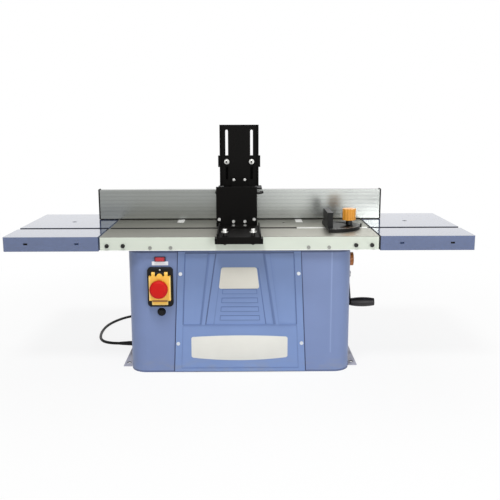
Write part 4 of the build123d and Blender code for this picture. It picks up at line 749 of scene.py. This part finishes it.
@dataclass(frozen=True)
class ScrewHeads(Coat):
    """Screws of the case: black heads at the skirt's corners, dull ones beside them, zinc elsewhere."""

    colour: Rgb = srgb(226, 229, 233)
    roughness: float = 0.28
    metallic: float = 0.4
    level: float = 0.95
    mottle: Grain = Grain(0.002, 4.0, 0.65, tone=0.3, dull=0.14, depth=0.00002)
    grey: Rgb = srgb(150, 152, 146)
    grey_share: float = 0.4
    grey_above: float = 0.284
    black: Rgb = srgb(34, 33, 32)
    black_share: float = 0.5
    black_from: float = 0.24
    black_dull: float = 0.12
    grains: Grains = (mottle,)

    def mark(self, shader: Shader) -> None:
        """Make the skirt's screws grey, and those at its corners black.

        Args:
            shader: The finish's shader.
        """
        mottle = self.mottle.noise(shader) - 0.5
        corner = abs(shader.x) > self.black_from
        shader.cover(shader.z > self.grey_above, shader.shade(self.grey, mottle * self.grey_share + 1.0))
        shader.cover(corner, shader.shade(self.black, mottle * self.black_share + 1.0))
        shader.rough = shader.rough + corner * self.black_dull


# What is drawn on the fronts, mostly painted shade and painted highlights: colour, strength and width, then
# the places in metres.
CASE_PAINTED_SHADE_AND_HIGHLIGHT = (
    # painted shade along the cabinet's foot
    Level(NAVY_SHADE, 0.55, 0.006, 0.25, 0.001),
    # painted shadow in the gap beside the panel
    Slant(NAVY_SHADE, 0.95, 0.0028, (0.149, 0.003), (0.1357, 0.284)),
    # painted highlight down the right-hand rounded corner
    Slant(PALE_HIGHLIGHT, 0.45, 0.003, (0.205, 0.045), (0.205, 0.284), True),
    # painted shade under the table
    Level(NAVY_SHADE, 0.75, 0.0065, 0.25, 0.28),
)
PANEL_PAINTED_SHADE = (
    # painted shade under the table and along the top of the relief
    Level(NAVY_SHADE, 0.8, 0.0044, 0.15, 0.2822),
    Level(NAVY_SHADE, 0.7, 0.0036, 0.1201, 0.277),
    # painted shade along the edges of the relief's fields and ribs
    Slant(BLUE_SHADE, 0.7, 0.0026, (0.1276, 0.113), (0.1201, 0.2748)),
    Slant(BLUE_SHADE, 0.5, 0.005, (-0.088, 0.113), (-0.067, 0.2748), True),
    Slant(NAVY_SHADE, 0.55, 0.0026, (-0.077, 0.113), (-0.052, 0.2748), True),
    Slant(BLUE_SHADE, 0.35, 0.0024, (-0.0585, 0.113), (-0.0408, 0.2427), True),
    Slant(BLUE_SHADE, 0.2, 0.0024, (0.088, 0.113), (0.067, 0.2748), True),
    Slant(BLUE_SHADE, 0.6, 0.0056, (0.0785, 0.113), (0.054, 0.2748), True),
    Slant(BLUE_SHADE, 0.8, 0.0026, (0.0585, 0.113), (0.0408, 0.2427), True),
    Slant(BLUE_SHADE, 0.25, 0.002, (0.1324, 0.0105), (0.1278, 0.109)),
    Level(BLUE_SHADE, 0.35, 0.0036, 0.1276, 0.1115),
    Level(BLUE_SHADE, 0.35, 0.0022, 0.1324, 0.0105),
    # painted shade round the raised bars
    Bars(BLUE_SHADE, 0.7, 0.0016, 4, 0.123, 0.0203, 0.0105, 0.045, 0.002),
)
FLAP_PAINTED_HIGHLIGHT_AND_SHADE = (
    # painted highlights along the edges of the flap and of its lip
    Slant(CREAM_HIGHLIGHT, 0.6, 0.0036, (0.0231, 0.1745), (0.0231, 0.227)),
    Slant(CREAM_HIGHLIGHT, 0.6, 0.003, (0.0168, 0.164), (0.0168, 0.172)),
    Level(CREAM_HIGHLIGHT, 0.5, 0.0026, 0.016, 0.1648),
    # painted shadow in the groove above the lip
    Level(BROWN_SHADE, 0.9, 0.0038, 0.0168, 0.1724),
)
LENS_ENDS = (Slant(MAROON, 0.85, 0.0042, (0.0112, 0.255), (0.0112, 0.27)),)
# Grains, and settings shared by the knobs, that the finishes below are given.
# painted highlight and shade along the fence's flutes
FENCE_FLUTES = (Flutes(0.004, tone=1.0, foot=0.3153, pitch=0.009375),)
LAMINATIONS = (Plies(0.0015, tone=0.35, depth=0.0002), Grain(0.015, tone=0.3, dull=0.2))
DUSTY_SHEATH = (
    Grain(0.0012, tone=0.3, depth=0.00004),
    Grain((0.03, 0.03, 0.008), 4.0, 0.65, dull=0.2, step=(0.48, 0.8), stain=srgb(90, 88, 85), cover=0.12),
)
KNOB_SKIN: dict[str, float] = {"roughness": 0.34, "grain": 0.0008, "depth": 0.00003, "gloss": 0.2}


class Finish(Enum):
    """The finishes of the machine, each named for what it covers, with the record's material slot.

    ZINC, on rivets and small nuts, has no coat: it is the even material that the scene already holds by that
    name.
    """

    CASE = (PowderCoat(srgb(120, 138, 181), front=-0.12, lines=CASE_PAINTED_SHADE_AND_HIGHLIGHT), "case_blue")
    # the panel gets a stronger painted shade upwards than the shell
    PANEL = (PowderCoat(srgb(121, 145, 193), shade_fall=0.24, lines=PANEL_PAINTED_SHADE), "panel_blue")
    WING = (WingCoat(), "case_blue")
    TABLE = (GroundTable(), "table_iron")
    FENCE = (
        DrawnMetal(
            srgb(149, 152, 149), 0.17, grain=(6.0, 0.02, 0.0014), detail=1.0, contrast=0.05, streak=0.04,
            depth=0.000003, flutes=FENCE_FLUTES, dark=(0.310, 0.3178),
        ),
        "fence_aluminium",
    )
    INSERT = (DrawnMetal(srgb(176, 176, 174), 0.34), "steel")
    BAR = (
        DrawnMetal(
            srgb(236, 236, 232), 0.2, grain=(0.12, 0.0012, 0.0012), contrast=0.1,
            dark=(TABLE_Z + 0.3 * MM, 1.0),
        ),
        "steel",
    )
    TURNED = (DrawnMetal(srgb(184, 184, 186), 0.26, grain=(0.012, 0.012, 0.0008)), "steel")
    MOTOR = (DrawnMetal(srgb(150, 152, 154), 0.45, grain=0.003), "fence_aluminium")
    STATOR = (Coat(srgb(108, 104, 100), 0.38, 0.9, level=0.825, grains=LAMINATIONS), "steel")
    ZINC = (None, "zinc")
    SCREWS = (ScrewHeads(), "zinc")
    UPPER_BOLTS = (ClampBolts(way=Way.DEEP, dark=(0.0437, 0.0800), centre=(-0.0014, 0.463)), "zinc")
    FRONT_BOLTS = (ClampBolts(way=Way.UPRIGHT, dark=(0.2800, 0.3264), centre=(-0.0014, -0.192)), "zinc")
    SHEET = (BlackSheet(), "dark_paint")
    CASTING = (BlackSheet(srgb(66, 68, 72), 0.52, specular=0.5, rub=srgb(130, 130, 130)), "dark_paint")
    HEAD = (GraduatedHead(), "dark_paint")
    BLACK = (Moulded(srgb(19, 18, 18), 0.46, specular=0.22), "black_plastic")
    PAD = (Moulded(srgb(12, 11, 10), 0.60, specular=0.08, grain=0.0011, depth=0.0001), "black_plastic")
    GRIP = (Moulded(srgb(33, 30, 31), 0.36), "black_plastic")
    # painted shade: a shaded wing blue, for the inner clip behind each wing slot
    CLIP = (Moulded(srgb(66, 80, 114), 0.6, specular=0.1), "case_blue")
    ORANGE = (Moulded(KNOB_ORANGE, **KNOB_SKIN), "orange_knob")
    MITRE_KNOB = (Moulded(KNOB_ORANGE, shank=0.3328, **KNOB_SKIN), "orange_knob")
    # painted shade: the knobs' orange darkened for the lock knob in the table's shadow
    LOCK = (Moulded(srgb(178, 106, 42), **KNOB_SKIN), "orange_knob")
    YELLOW = (
        Moulded(
            srgb(250, 196, 72), 0.32, middle=SWITCH_X, lines=FLAP_PAINTED_HIGHLIGHT_AND_SHADE,
            grain=0.0008, depth=0.00002, gloss=0.3,
        ),
        "flap_yellow",
    )
    RED = (Moulded(srgb(204, 22, 18), 0.40, specular=0.2, grain=0.001, depth=0.00002), "stop_red")
    GREEN = (Moulded(srgb(36, 122, 62), 0.32, grain=0.001, depth=0.00002, gloss=0.3), "start_green")
    LENS = (
        Moulded(
            srgb(184, 34, 48), 0.30, middle=SWITCH_X, lines=LENS_ENDS,
            grain=0.002, depth=0.00001, gloss=0.1,
        ),
        "lamp_red",
    )
    NAMEPLATE = (BarePlate(srgb(212, 209, 198)), "zinc")
    BADGE = (BarePlate(srgb(226, 225, 217)), "zinc")
    STRIP = (BarePlate(srgb(248, 248, 252)), "zinc")
    SLIDER = (BarePlate(srgb(238, 238, 234)), "zinc")
    CORD = (Coat(srgb(15, 14, 14), 0.50, specular=0.15, grains=DUSTY_SHEATH), "cord_black")

    def material(self) -> bpy.types.Material:
        """Return the material of this finish's name, made once if none exists yet."""
        name = self.name.lower()
        return bpy.data.materials.get(name) or self.value[0].material(name)

    def slot(self) -> str:
        """Return the record's material slot."""
        return self.value[1]


def dress(finish: Finish, *nodes: str) -> None:
    """Give CAD nodes a finish.

    Args:
        finish: The finish.
        nodes: The nodes' names.
    """
    for node in nodes:
        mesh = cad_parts[node].data
        mesh.materials.clear()
        mesh.materials.append(finish.material())
        LOG.info("%s: %s", node, finish.name.lower())


def put(name: str, data: bpy.types.ID) -> bpy.types.Object:
    """Put an object into the scene.

    Args:
        name: The object's name.
        data: Its mesh, curve, light or camera.

    Returns:
        The object.
    """
    made = bpy.data.objects.new(name, data)
    bpy.context.scene.collection.objects.link(made)
    return made


def circle(sides: int) -> np.ndarray:
    """Return a circle of radius 1, (sides, 2): (cos a, sin a) at even steps of a."""
    angle = np.linspace(0.0, 2 * math.pi, sides, endpoint=False)
    return np.stack((np.cos(angle), np.sin(angle)), axis=-1)


def rounded(corners: Sequence[Sequence[float]], radius: float, steps: int = 8) -> np.ndarray:
    """Round an outline's corners: each corner C becomes (1-t)^2 A + 2t(1-t) C + t^2 B.

    Args:
        corners: The outline's corners, in order.
        radius: How far A and B lie from each corner, along its two sides.
        steps: Points on each corner.

    Returns:
        The rounded outline, (corners x steps, 2).
    """
    middle = np.asarray(corners, float)
    back, ahead = (np.roll(middle, shift, axis=0) - middle for shift in (1, -1))
    start, end = (middle + radius * way / np.linalg.norm(way, axis=1, keepdims=True) for way in (back, ahead))
    t = np.linspace(0.0, 1.0, steps)[None, :, None]
    curve = (1 - t) ** 2 * start[:, None] + 2 * t * (1 - t) * middle[:, None] + t**2 * end[:, None]
    return curve.reshape(-1, 2)


def box_outline(x: Sequence[float], z: Sequence[float], radius: float) -> np.ndarray:
    """Return a rounded upright rectangle between two values across and two values up."""
    return rounded([(x[0], z[0]), (x[1], z[0]), (x[1], z[1]), (x[0], z[1])], radius)


def lifted(outlines: np.ndarray, heights: np.ndarray) -> np.ndarray:
    """Return outlines (k, n, 2), each at its own height, as points (u, v, h) of shape (k, n, 3)."""
    tall = np.broadcast_to(heights[:, None, None], (*outlines.shape[:2], 1))
    return np.concatenate((outlines, tall), axis=-1)


def raised(outline: np.ndarray, thick: float, edge: float) -> np.ndarray:
    """Carry an outline up a plate's thickness T, drawn in by e (1 - cos a) at T - e + e sin a round its edge.

    Args:
        outline: Closed outline (points, 2).
        thick: How far the plate stands out.
        edge: Size e of the rounding at its front edge.

    Returns:
        Rings of points (u, v, h).
    """
    turn = np.linspace(0.0, math.pi / 2, EDGE_STEPS)
    inset = np.append(0.0, edge * (1 - np.cos(turn)))
    height = np.append(0.0, thick - edge + edge * np.sin(turn))
    reach = outline - outline.mean(axis=0)
    drawn = reach / np.linalg.norm(reach, axis=1, keepdims=True)
    return lifted(outline - inset[:, None, None] * drawn, height)


def facing_front(points: np.ndarray, y: float) -> np.ndarray:
    """Stand points (u, v, h) on the plane at y, facing the operator: (u, y - h, v)."""
    return np.stack((points[..., 0], y - points[..., 2], points[..., 1]), axis=-1)


def plate(name: str, outline: np.ndarray, y: float, thick: float, edge: float, finish: Finish) -> None:
    """Make a thin plate that faces the operator, with its back on the plane at y."""
    skin(name, facing_front(raised(outline, thick, edge), y), finish)


def skin(name: str, rings: np.ndarray, finish: Finish, body: str = "base", looped: bool = False) -> None:
    """Make a piece from a grid of points: quads between neighbouring rings, and a face on each end.

    Args:
        name: The piece's name.
        rings: Points (rings, sides, 3); each ring is closed.
        finish: The piece's finish.
        body: The CAD body that it rides on.
        looped: Joins the last ring to the first in place of end faces.
    """
    count, sides = rings.shape[:2]
    ring = np.arange(count if looped else count - 1)[:, None]
    here, there = ring * sides, (ring + 1) % count * sides
    side = np.arange(sides)
    after = np.roll(side, -1)
    quads = np.stack((here + side, here + after, there + after, there + side), axis=-1).reshape(-1, 4)
    faces = quads.tolist()
    if not looped:
        faces += [side[::-1].tolist(), (side + (count - 1) * sides).tolist()]
    points = rings.reshape(-1, 3)
    a, b, c, d = np.moveaxis((points - points.mean(axis=0))[quads], 1, 0)
    if np.sum(a * (np.cross(b, c) + np.cross(c, d))) < 0:
        faces = [face[::-1] for face in faces]
    mesh = bpy.data.meshes.new(name)
    mesh.from_pydata(points.tolist(), [], faces)
    mesh.polygons.foreach_set("use_smooth", np.ones(len(mesh.polygons), bool))
    mesh.set_sharp_from_angle(angle=CREASE)
    mesh.materials.append(finish.material())
    piece = put(name, mesh)
    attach(piece, body)
    LOG.info("%s: %d faces on %s", name, len(faces), body)


@dataclass(frozen=True)
class Lamp:
    """One soft area lamp that points at the machine."""

    name: str
    place: Place
    size: float
    watts: float

    def hang(self, target: Vector) -> None:
        """Put the lamp up, turned towards the target.

        Args:
            target: Where it points.
        """
        light = bpy.data.lights.new(self.name, "AREA")
        light.shape = "DISK"
        light.size = self.size
        light.energy = self.watts
        lamp = put(self.name, light)
        lamp.location = self.place
        lamp.rotation_euler = (target - lamp.location).to_track_quat("-Z", "Y").to_euler()


@dataclass(frozen=True)
class Studio:
    """Pale floor, soft lamps and the camera, which stands where the photograph was taken."""

    eye: Place = (0.0081, -1.7024, 0.5765)
    pitch: float = 0.1892
    yaw: float = 0.0095
    roll: float = -0.0023
    lens: float = 50.96
    sensor: float = 36.0
    nearest: float = 0.05
    floor_reach: float = 12.0
    floor_colour: Rgb = (0.90, 0.90, 0.90)
    floor_glow: float = 0.86
    floor_fade: Pair = (0.45, 1.30)
    ambient: float = 0.30
    target: Place = (0.0, 0.0, 0.25)
    lamps: tuple[Lamp, ...] = (
        Lamp("key", (-0.3, -1.3, 2.6), 0.7, 40.0),
        Lamp("fill", (1.7, -1.5, 1.3), 1.4, 5.0),
        Lamp("back", (0.5, 1.5, 1.8), 1.4, 14.0),
        Lamp("kicker", (0.85, -1.7, 0.5), 0.5, 4.8),
        Lamp("sheen", (0.38, -1.75, 0.45), 0.75, 2.0),
    )

    def build(self) -> None:
        """Set the camera, the floor, the world and the lamps."""
        bpy.context.scene.view_settings.view_transform = "Standard"
        self.set_camera()
        self.lay_floor()
        self.light_world()
        for lamp in self.lamps:
            lamp.hang(Vector(self.target))

    def set_camera(self) -> None:
        """Place the camera: rolled about its own axis, pitched down from level and yawed to the right."""
        data = bpy.data.cameras.new("camera")
        data.lens = self.lens
        data.sensor_width = self.sensor
        data.clip_start = self.nearest
        camera = put("camera", data)
        turns = ((-self.yaw, "Z"), (math.pi / 2 - self.pitch, "X"), (self.roll, "Z"))
        yaw, pitch, roll = (Matrix.Rotation(angle, 4, axis) for angle, axis in turns)
        camera.matrix_world = Matrix.Translation(self.eye) @ yaw @ pitch @ roll
        bpy.context.scene.camera = camera

    def lay_floor(self) -> None:
        """Lay one wide flat sheet, which keeps the shadow near the machine and glows white to the camera."""
        corners = self.floor_reach * np.array([(-1, -1, 0), (1, -1, 0), (1, 1, 0), (-1, 1, 0)])
        mesh = bpy.data.meshes.new("floor")
        mesh.from_pydata(corners.tolist(), [], [(0, 1, 2, 3)])
        shader = Shader("floor")
        shader.done(Base_Color=self.floor_colour, Roughness=0.8, Specular_IOR_Level=0.1)
        away = shader.reach(shader.x, shader.y).ramp(*self.floor_fade)
        glowing = shader.seen() * (away * (1.0 - self.floor_glow) + self.floor_glow)
        white = shader.value("ShaderNodeEmission", 0, {"Color": WHITE, "Strength": 1.0})
        mixed = shader.value("ShaderNodeMixShader", 0, {0: glowing, 1: shader.lit, 2: white})
        shader.feed(shader.out.inputs["Surface"], mixed)
        mesh.materials.append(shader.material)
        floor = put("floor", mesh)

    def light_world(self) -> None:
        """Light everything evenly, and show white to the camera and in mirrors."""
        world = bpy.data.worlds.new("studio")
        world.use_nodes = True
        nodes = Nodes(world.node_tree)
        strength = nodes.seen() * (1.0 - self.ambient) + self.ambient
        background = nodes.value("ShaderNodeBackground", 0, {"Color": WHITE, "Strength": strength})
        nodes.node("ShaderNodeOutputWorld", {"Surface": background})
        bpy.context.scene.world = world


@dataclass(frozen=True)
class MainsLead:
    """The mains lead: its free run on the bench, its tied coil behind the cabinet and its plug."""

    diameter: float = 0.007
    length: float = 1.80
    coil_middle: Pair = (-0.060, 0.245)
    coil_radius: float = 0.048
    coil_pitch: float = 0.0075
    coil_low: float = 0.005
    half_turns: int = 4
    points_per_turn: int = 16
    route: tuple[Place, ...] = (
        (-0.2960, -0.0340, 0.0250), (-0.3040, -0.0340, 0.0250), (-0.3177, -0.0312, 0.0250),
        (-0.3315, -0.0232, 0.0245), (-0.3424, -0.0102, 0.0235), (-0.3518, 0.0130, 0.0210),
        (-0.3600, 0.0480, 0.0160), (-0.3675, 0.0930, 0.0100), (-0.3710, 0.1380, 0.0060),
        (-0.3690, 0.1830, 0.0042), (-0.3560, 0.2260, 0.0036), (-0.3310, 0.2670, 0.0036),
        (-0.2970, 0.2900, 0.0036), (-0.2550, 0.2990, 0.0036), (-0.2120, 0.3000, 0.0036),
        (-0.1700, 0.2985, 0.0036), (-0.1280, 0.2955, 0.0040), (-0.0970, 0.2930, 0.0050),
        (-0.0670, 0.2930, 0.0050),
    )
    neck: Place = (-0.0670, 0.1970, 0.0125)

    def coil(self) -> np.ndarray:
        """Work out the coil's control points.

        Half turns follow each other clockwise, each from where the last one ended, the radius falling
        and then growing by half a pitch. The middle one climbs a pitch to the second layer. A control
        point lies outside the curve by 8 / (6 + 2 cos step).

        Returns:
            The points (n, 3), in order.
        """
        step = 2 * math.pi / self.points_per_turn
        outside = 8 / (6 + 2 * math.cos(step))
        place = np.arange(self.points_per_turn // 2) + 0.5
        angle = math.pi / 2 - place * step
        shrink = self.coil_radius - self.coil_pitch / 2 * np.arange(self.half_turns + 1)
        end, height = self.coil_middle[1] + self.coil_radius, self.coil_low
        halves = []
        for turn, radius in enumerate(np.append(shrink, shrink[-2::-1])):
            side = 1 if turn % 2 == 0 else -1
            middle = end - side * radius
            climb = self.coil_pitch if turn == self.half_turns else 0.0
            reach = side * radius * outside
            x = self.coil_middle[0] + reach * np.cos(angle)
            y = middle + reach * np.sin(angle)
            halves.append(np.stack((x, y, height + climb * place / len(place)), axis=-1))
            end, height = middle - side * radius, height + climb
        return np.concatenate(halves)

    def build(self) -> None:
        points = np.concatenate((self.route, self.coil(), [self.neck]))
        curve = bpy.data.curves.new("mains_lead", "CURVE")
        curve.dimensions = "3D"
        curve.bevel_depth = self.diameter / 2
        curve.bevel_resolution = 4
        curve.resolution_u = 6
        curve.use_fill_caps = True
        spline = curve.splines.new("NURBS")
        spline.points.add(len(points) - 1)
        spline.points.foreach_set("co", np.insert(points, 3, 1.0, axis=1).ravel().tolist())
        spline.order_u = 3
        spline.use_endpoint_u = True
        curve.materials.append(Finish.CORD.material())
        lead = put("mains_lead", curve)
        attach(lead, "base")
        Finish.CORD.slot()
        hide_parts("power_cord", "cord_coil")
        dress(Finish.BLACK, "cord_gland", "cord_tie", "mains_plug")
        LOG.info("mains_lead: %d control points", len(points))


@dataclass(frozen=True)
class Cabinet:
    """The cabinet: painted shell, relief panel, its bare plates and its screws."""

    field_y: float = -0.170
    low_field_y: float = -0.171
    plate_thick: float = 0.0007
    plate_edge: float = 0.0003
    name_corners: tuple[Pair, ...] = ((-0.0472, 0.1955), (0.0432, 0.1955), (0.0375, 0.244), (-0.041, 0.244))
    name_round: float = 0.006
    badge_x: Pair = (-0.1102, 0.1070)
    badge_z: Pair = (0.0358, 0.0839)
    badge_bow: Pair = (0.0069, 0.0034)
    badge_corner: float = 0.0045
    badge_points: int = 97
    strip_x: Pair = (-0.1947, -0.1585)
    strip_z: Pair = (0.2490, 0.2578)
    strip_round: float = 0.0008

    def build(self) -> None:
        """Dress the shell and lay on the three bare plates."""
        dress(Finish.CASE, "cabinet_shell", "rear_panel")
        dress(Finish.PANEL, "front_panel")
        dress(Finish.SCREWS, "case_screws")
        strip = box_outline(self.strip_x, self.strip_z, self.strip_round)
        for name, outline, y, finish in (
            ("nameplate", rounded(self.name_corners, self.name_round), self.field_y, Finish.NAMEPLATE),
            ("badge", self.badge(), self.low_field_y, Finish.BADGE),
            ("lamp_strip", strip, WALL_Y, Finish.STRIP),
        ):
            plate(name, outline, y, self.plate_thick, self.plate_edge, finish)

    def badge(self) -> np.ndarray:
        """Draw the badge: its foot and top are bowed out by b (1 - u^2), and r rounds its four corners.

        At a distance d past the middle of a corner, the edge is drawn in by r - sqrt(r^2 - d^2).

        Returns:
            Its outline.
        """
        share = -np.cos(np.linspace(0.0, math.pi, self.badge_points))
        middle, half = sum(self.badge_x) / 2, (self.badge_x[1] - self.badge_x[0]) / 2
        bow = 1 - share**2
        past = np.clip(half * np.abs(share) - (half - self.badge_corner), 0.0, self.badge_corner)
        drawn = self.badge_corner - np.sqrt(self.badge_corner**2 - past**2)
        foot = np.stack((middle + half * share, self.badge_z[0] - self.badge_bow[0] * bow + drawn), axis=-1)
        top = np.stack((middle - half * share, self.badge_z[1] + self.badge_bow[1] * bow - drawn), axis=-1)
        return np.concatenate((foot, top))


@dataclass(frozen=True)
class Table:
    """The table with its insert ring, and the two wings with a dark clip behind each slot that stands in for
    the shade inside the wing.
    """

    shade_clip_x: Pair = (0.356, 0.4675)
    shade_clip_y: float = -0.1764
    shade_clip_z: float = 0.2995
    shade_clip_half: Pair = (0.0085, 0.0055)
    shade_clip_thick: float = 0.0014
    shade_clip_edge: float = 0.0003
    shade_clip_round: float = 0.001

    def build(self) -> None:
        """Dress the table and the wings, and set the clips, painted shade that stands in for the dark inside
        of the wings, against the inside of the wings' front edges.
        """
        dress(Finish.TABLE, "table_top")
        dress(Finish.INSERT, "insert_ring")
        dress(Finish.WING, "left_wing", "right_wing")
        across, up = self.shade_clip_half
        z = (self.shade_clip_z - up, self.shade_clip_z + up)
        # painted shade: a dim blue and a black clip behind each wing slot stand in for the shade inside the
        # wing
        for side, name in ((-1, "left"), (1, "right")):
            for number, (x, finish) in enumerate(zip(self.shade_clip_x, (Finish.CLIP, Finish.SHEET)), 1):
                outline = box_outline((side * x - across, side * x + across), z, self.shade_clip_round)
                clip = f"{name}_wing_shade_clip_{number}"
                plate(clip, outline, self.shade_clip_y, self.shade_clip_thick, self.shade_clip_edge, finish)


@dataclass(frozen=True)
class Fence:
    """The fence: fluted plates with black end caps, its body, hood, dust port and knobs."""

    end_x: float = 0.353
    cap_y: Pair = (0.0776, 0.0980)
    cap_z: Pair = (0.3157, 0.3920)
    cap_thick: float = 0.0034
    cap_edge: float = 0.0008
    cap_round: float = 0.0012

    def build(self) -> None:
        """Dress the fence and put a cap on each plate's outer end."""
        dress(Finish.FENCE, "left_fence_plate", "right_fence_plate")
        dress(Finish.SHEET, "fence_body")
        dress(Finish.BLACK, "dust_port")
        dress(Finish.SLIDER, "slot_clamps")
        dress(Finish.ORANGE, "left_clamp_knob", "right_clamp_knob", "left_fence_lock", "right_fence_lock")
        outline = box_outline(self.cap_y, self.cap_z, self.cap_round)
        y, z, out = np.moveaxis(raised(outline, self.cap_thick, self.cap_edge), -1, 0)
        for side, body in ((-1, "left_fence"), (1, "right_fence")):
            rings = np.stack((side * (self.end_x + out), y, z), axis=-1)
            skin(f"{body}_cap", rings, Finish.BLACK, body)


@dataclass(frozen=True)
class Pressers:
    """The upright and the front presser."""

    def build(self) -> None:
        """Dress both pressers."""
        dress(Finish.SHEET, "presser_bracket", "upper_plate", "front_strap", "front_plate")
        dress(Finish.PAD, "front_pad", "upper_shoe")
        dress(Finish.UPPER_BOLTS, "upper_clamp_bolts")
        dress(Finish.FRONT_BOLTS, "front_clamp_bolts")
        dress(Finish.ZINC, "upper_rivets", "pad_fasteners")


@dataclass(frozen=True)
class MitreGauge:
    """The mitre gauge."""

    def build(self) -> None:
        """Dress the bar, the head and its knob."""
        dress(Finish.BAR, "mitre_bar")
        dress(Finish.HEAD, "mitre_head")
        dress(Finish.MITRE_KNOB, "mitre_knob")


@dataclass(frozen=True)
class Switch:
    """The switch, its pilot lamp and the overload reset."""

    lamp_z: float = 0.263
    lamp_half: Pair = (0.0115, 0.0045)
    lamp_round: float = 0.0006
    bezel_grow: Pair = (0.0001, 0.0009)
    bezel_thick: float = 0.0022
    bezel_section: tuple[Pair, ...] = (
        (0.0, 0.0), (0.0, 0.85), (0.15, 1.0), (0.85, 1.0), (1.0, 0.8), (1.0, 0.0)
    )
    screw_place: Place = (SWITCH_X, -0.178, 0.2404)
    screw_radius: float = 0.0019
    screw_thick: float = 0.0011
    screw_edge: float = 0.0008
    screw_sides: int = 24
    reset_place: Pair = (-0.1755, 0.1425)
    collar: tuple[Pair, ...] = (
        (0.0073, 0.0), (0.0073, 0.0022), (0.0080, 0.0027), (0.0092, 0.0014), (0.0094, 0.0)
    )
    collar_sides: int = 48

    def build(self) -> None:
        """Dress the switch and add the lamp's bezel, the reset's collar and the housing's screw."""
        dress(Finish.BLACK, "switch_housing", "reset_button")
        dress(Finish.YELLOW, "switch_flap")
        dress(Finish.RED, "stop_button", "stop_key")
        dress(Finish.GREEN, "start_key")
        dress(Finish.LENS, "pilot_lamp")
        self.add_bezel()
        self.add_collar()
        self.add_screw()

    def add_bezel(self) -> None:
        """Frame the pilot lamp: a section (share, height) carried along matching inner and outer outlines."""
        outlines = []
        for grow in self.bezel_grow:
            x, z = (half + grow for half in self.lamp_half)
            sides, ends = (SWITCH_X - x, SWITCH_X + x), (self.lamp_z - z, self.lamp_z + z)
            outlines.append(box_outline(sides, ends, self.lamp_round + grow))
        inner, outer = outlines
        share, height = np.array(self.bezel_section).T
        rings = inner + share[:, None, None] * (outer - inner)
        points = facing_front(lifted(rings, height * self.bezel_thick), WALL_Y)
        skin("lamp_bezel", points, Finish.BLACK, looped=True)

    def add_collar(self) -> None:
        """Ring the reset button: a section (radius, height) carried round a circle."""
        radius, height = np.array(self.collar).T
        rings = self.reset_place + radius[:, None, None] * circle(self.collar_sides)
        skin("reset_collar", facing_front(lifted(rings, height), WALL_Y), Finish.BLACK, looped=True)

    def add_screw(self) -> None:
        """Set the housing's small pan-head screw: a circle carried up its thickness."""
        x, y, z = self.screw_place
        outline = (x, z) + self.screw_radius * circle(self.screw_sides)
        plate("switch_screw", outline, y, self.screw_thick, self.screw_edge, Finish.ZINC)


@dataclass(frozen=True)
class Lift:
    """The motor, its spindle and the lift inside the cabinet."""

    def build(self) -> None:
        """Dress the inner pieces."""
        dress(Finish.TURNED, "spindle", "bearings", "collet_nut", "guide_columns", "lead_screw")
        dress(Finish.TURNED, "screw_gear", "crank_gear", "crank_shaft")
        dress(Finish.CASTING, "carriage", "lower_bridge", "gear_bracket")
        dress(Finish.MOTOR, "motor_housing")
        dress(Finish.STATOR, "stator")
        dress(Finish.BLACK, "fan")


@dataclass(frozen=True)
class Crank:
    """The height crank and the height lock on the right wall."""

    def build(self) -> None:
        """Dress the arm, its grip and the lock's knob."""
        dress(Finish.SHEET, "crank_arm", "crank_bush")
        dress(Finish.GRIP, "crank_grip")
        dress(Finish.LOCK, "lock_knob")


def main() -> None:
    """Build every sub-assembly in order."""
    logging.basicConfig(level=logging.INFO, format="%(message)s")
    dressed = (Cabinet(), Table(), Fence(), Pressers(), MitreGauge(), Switch(), Lift(), Crank())
    for assembly in (Studio(), MainsLead(), *dressed):
        assembly.build()


if __name__ == "__main__":
    main()
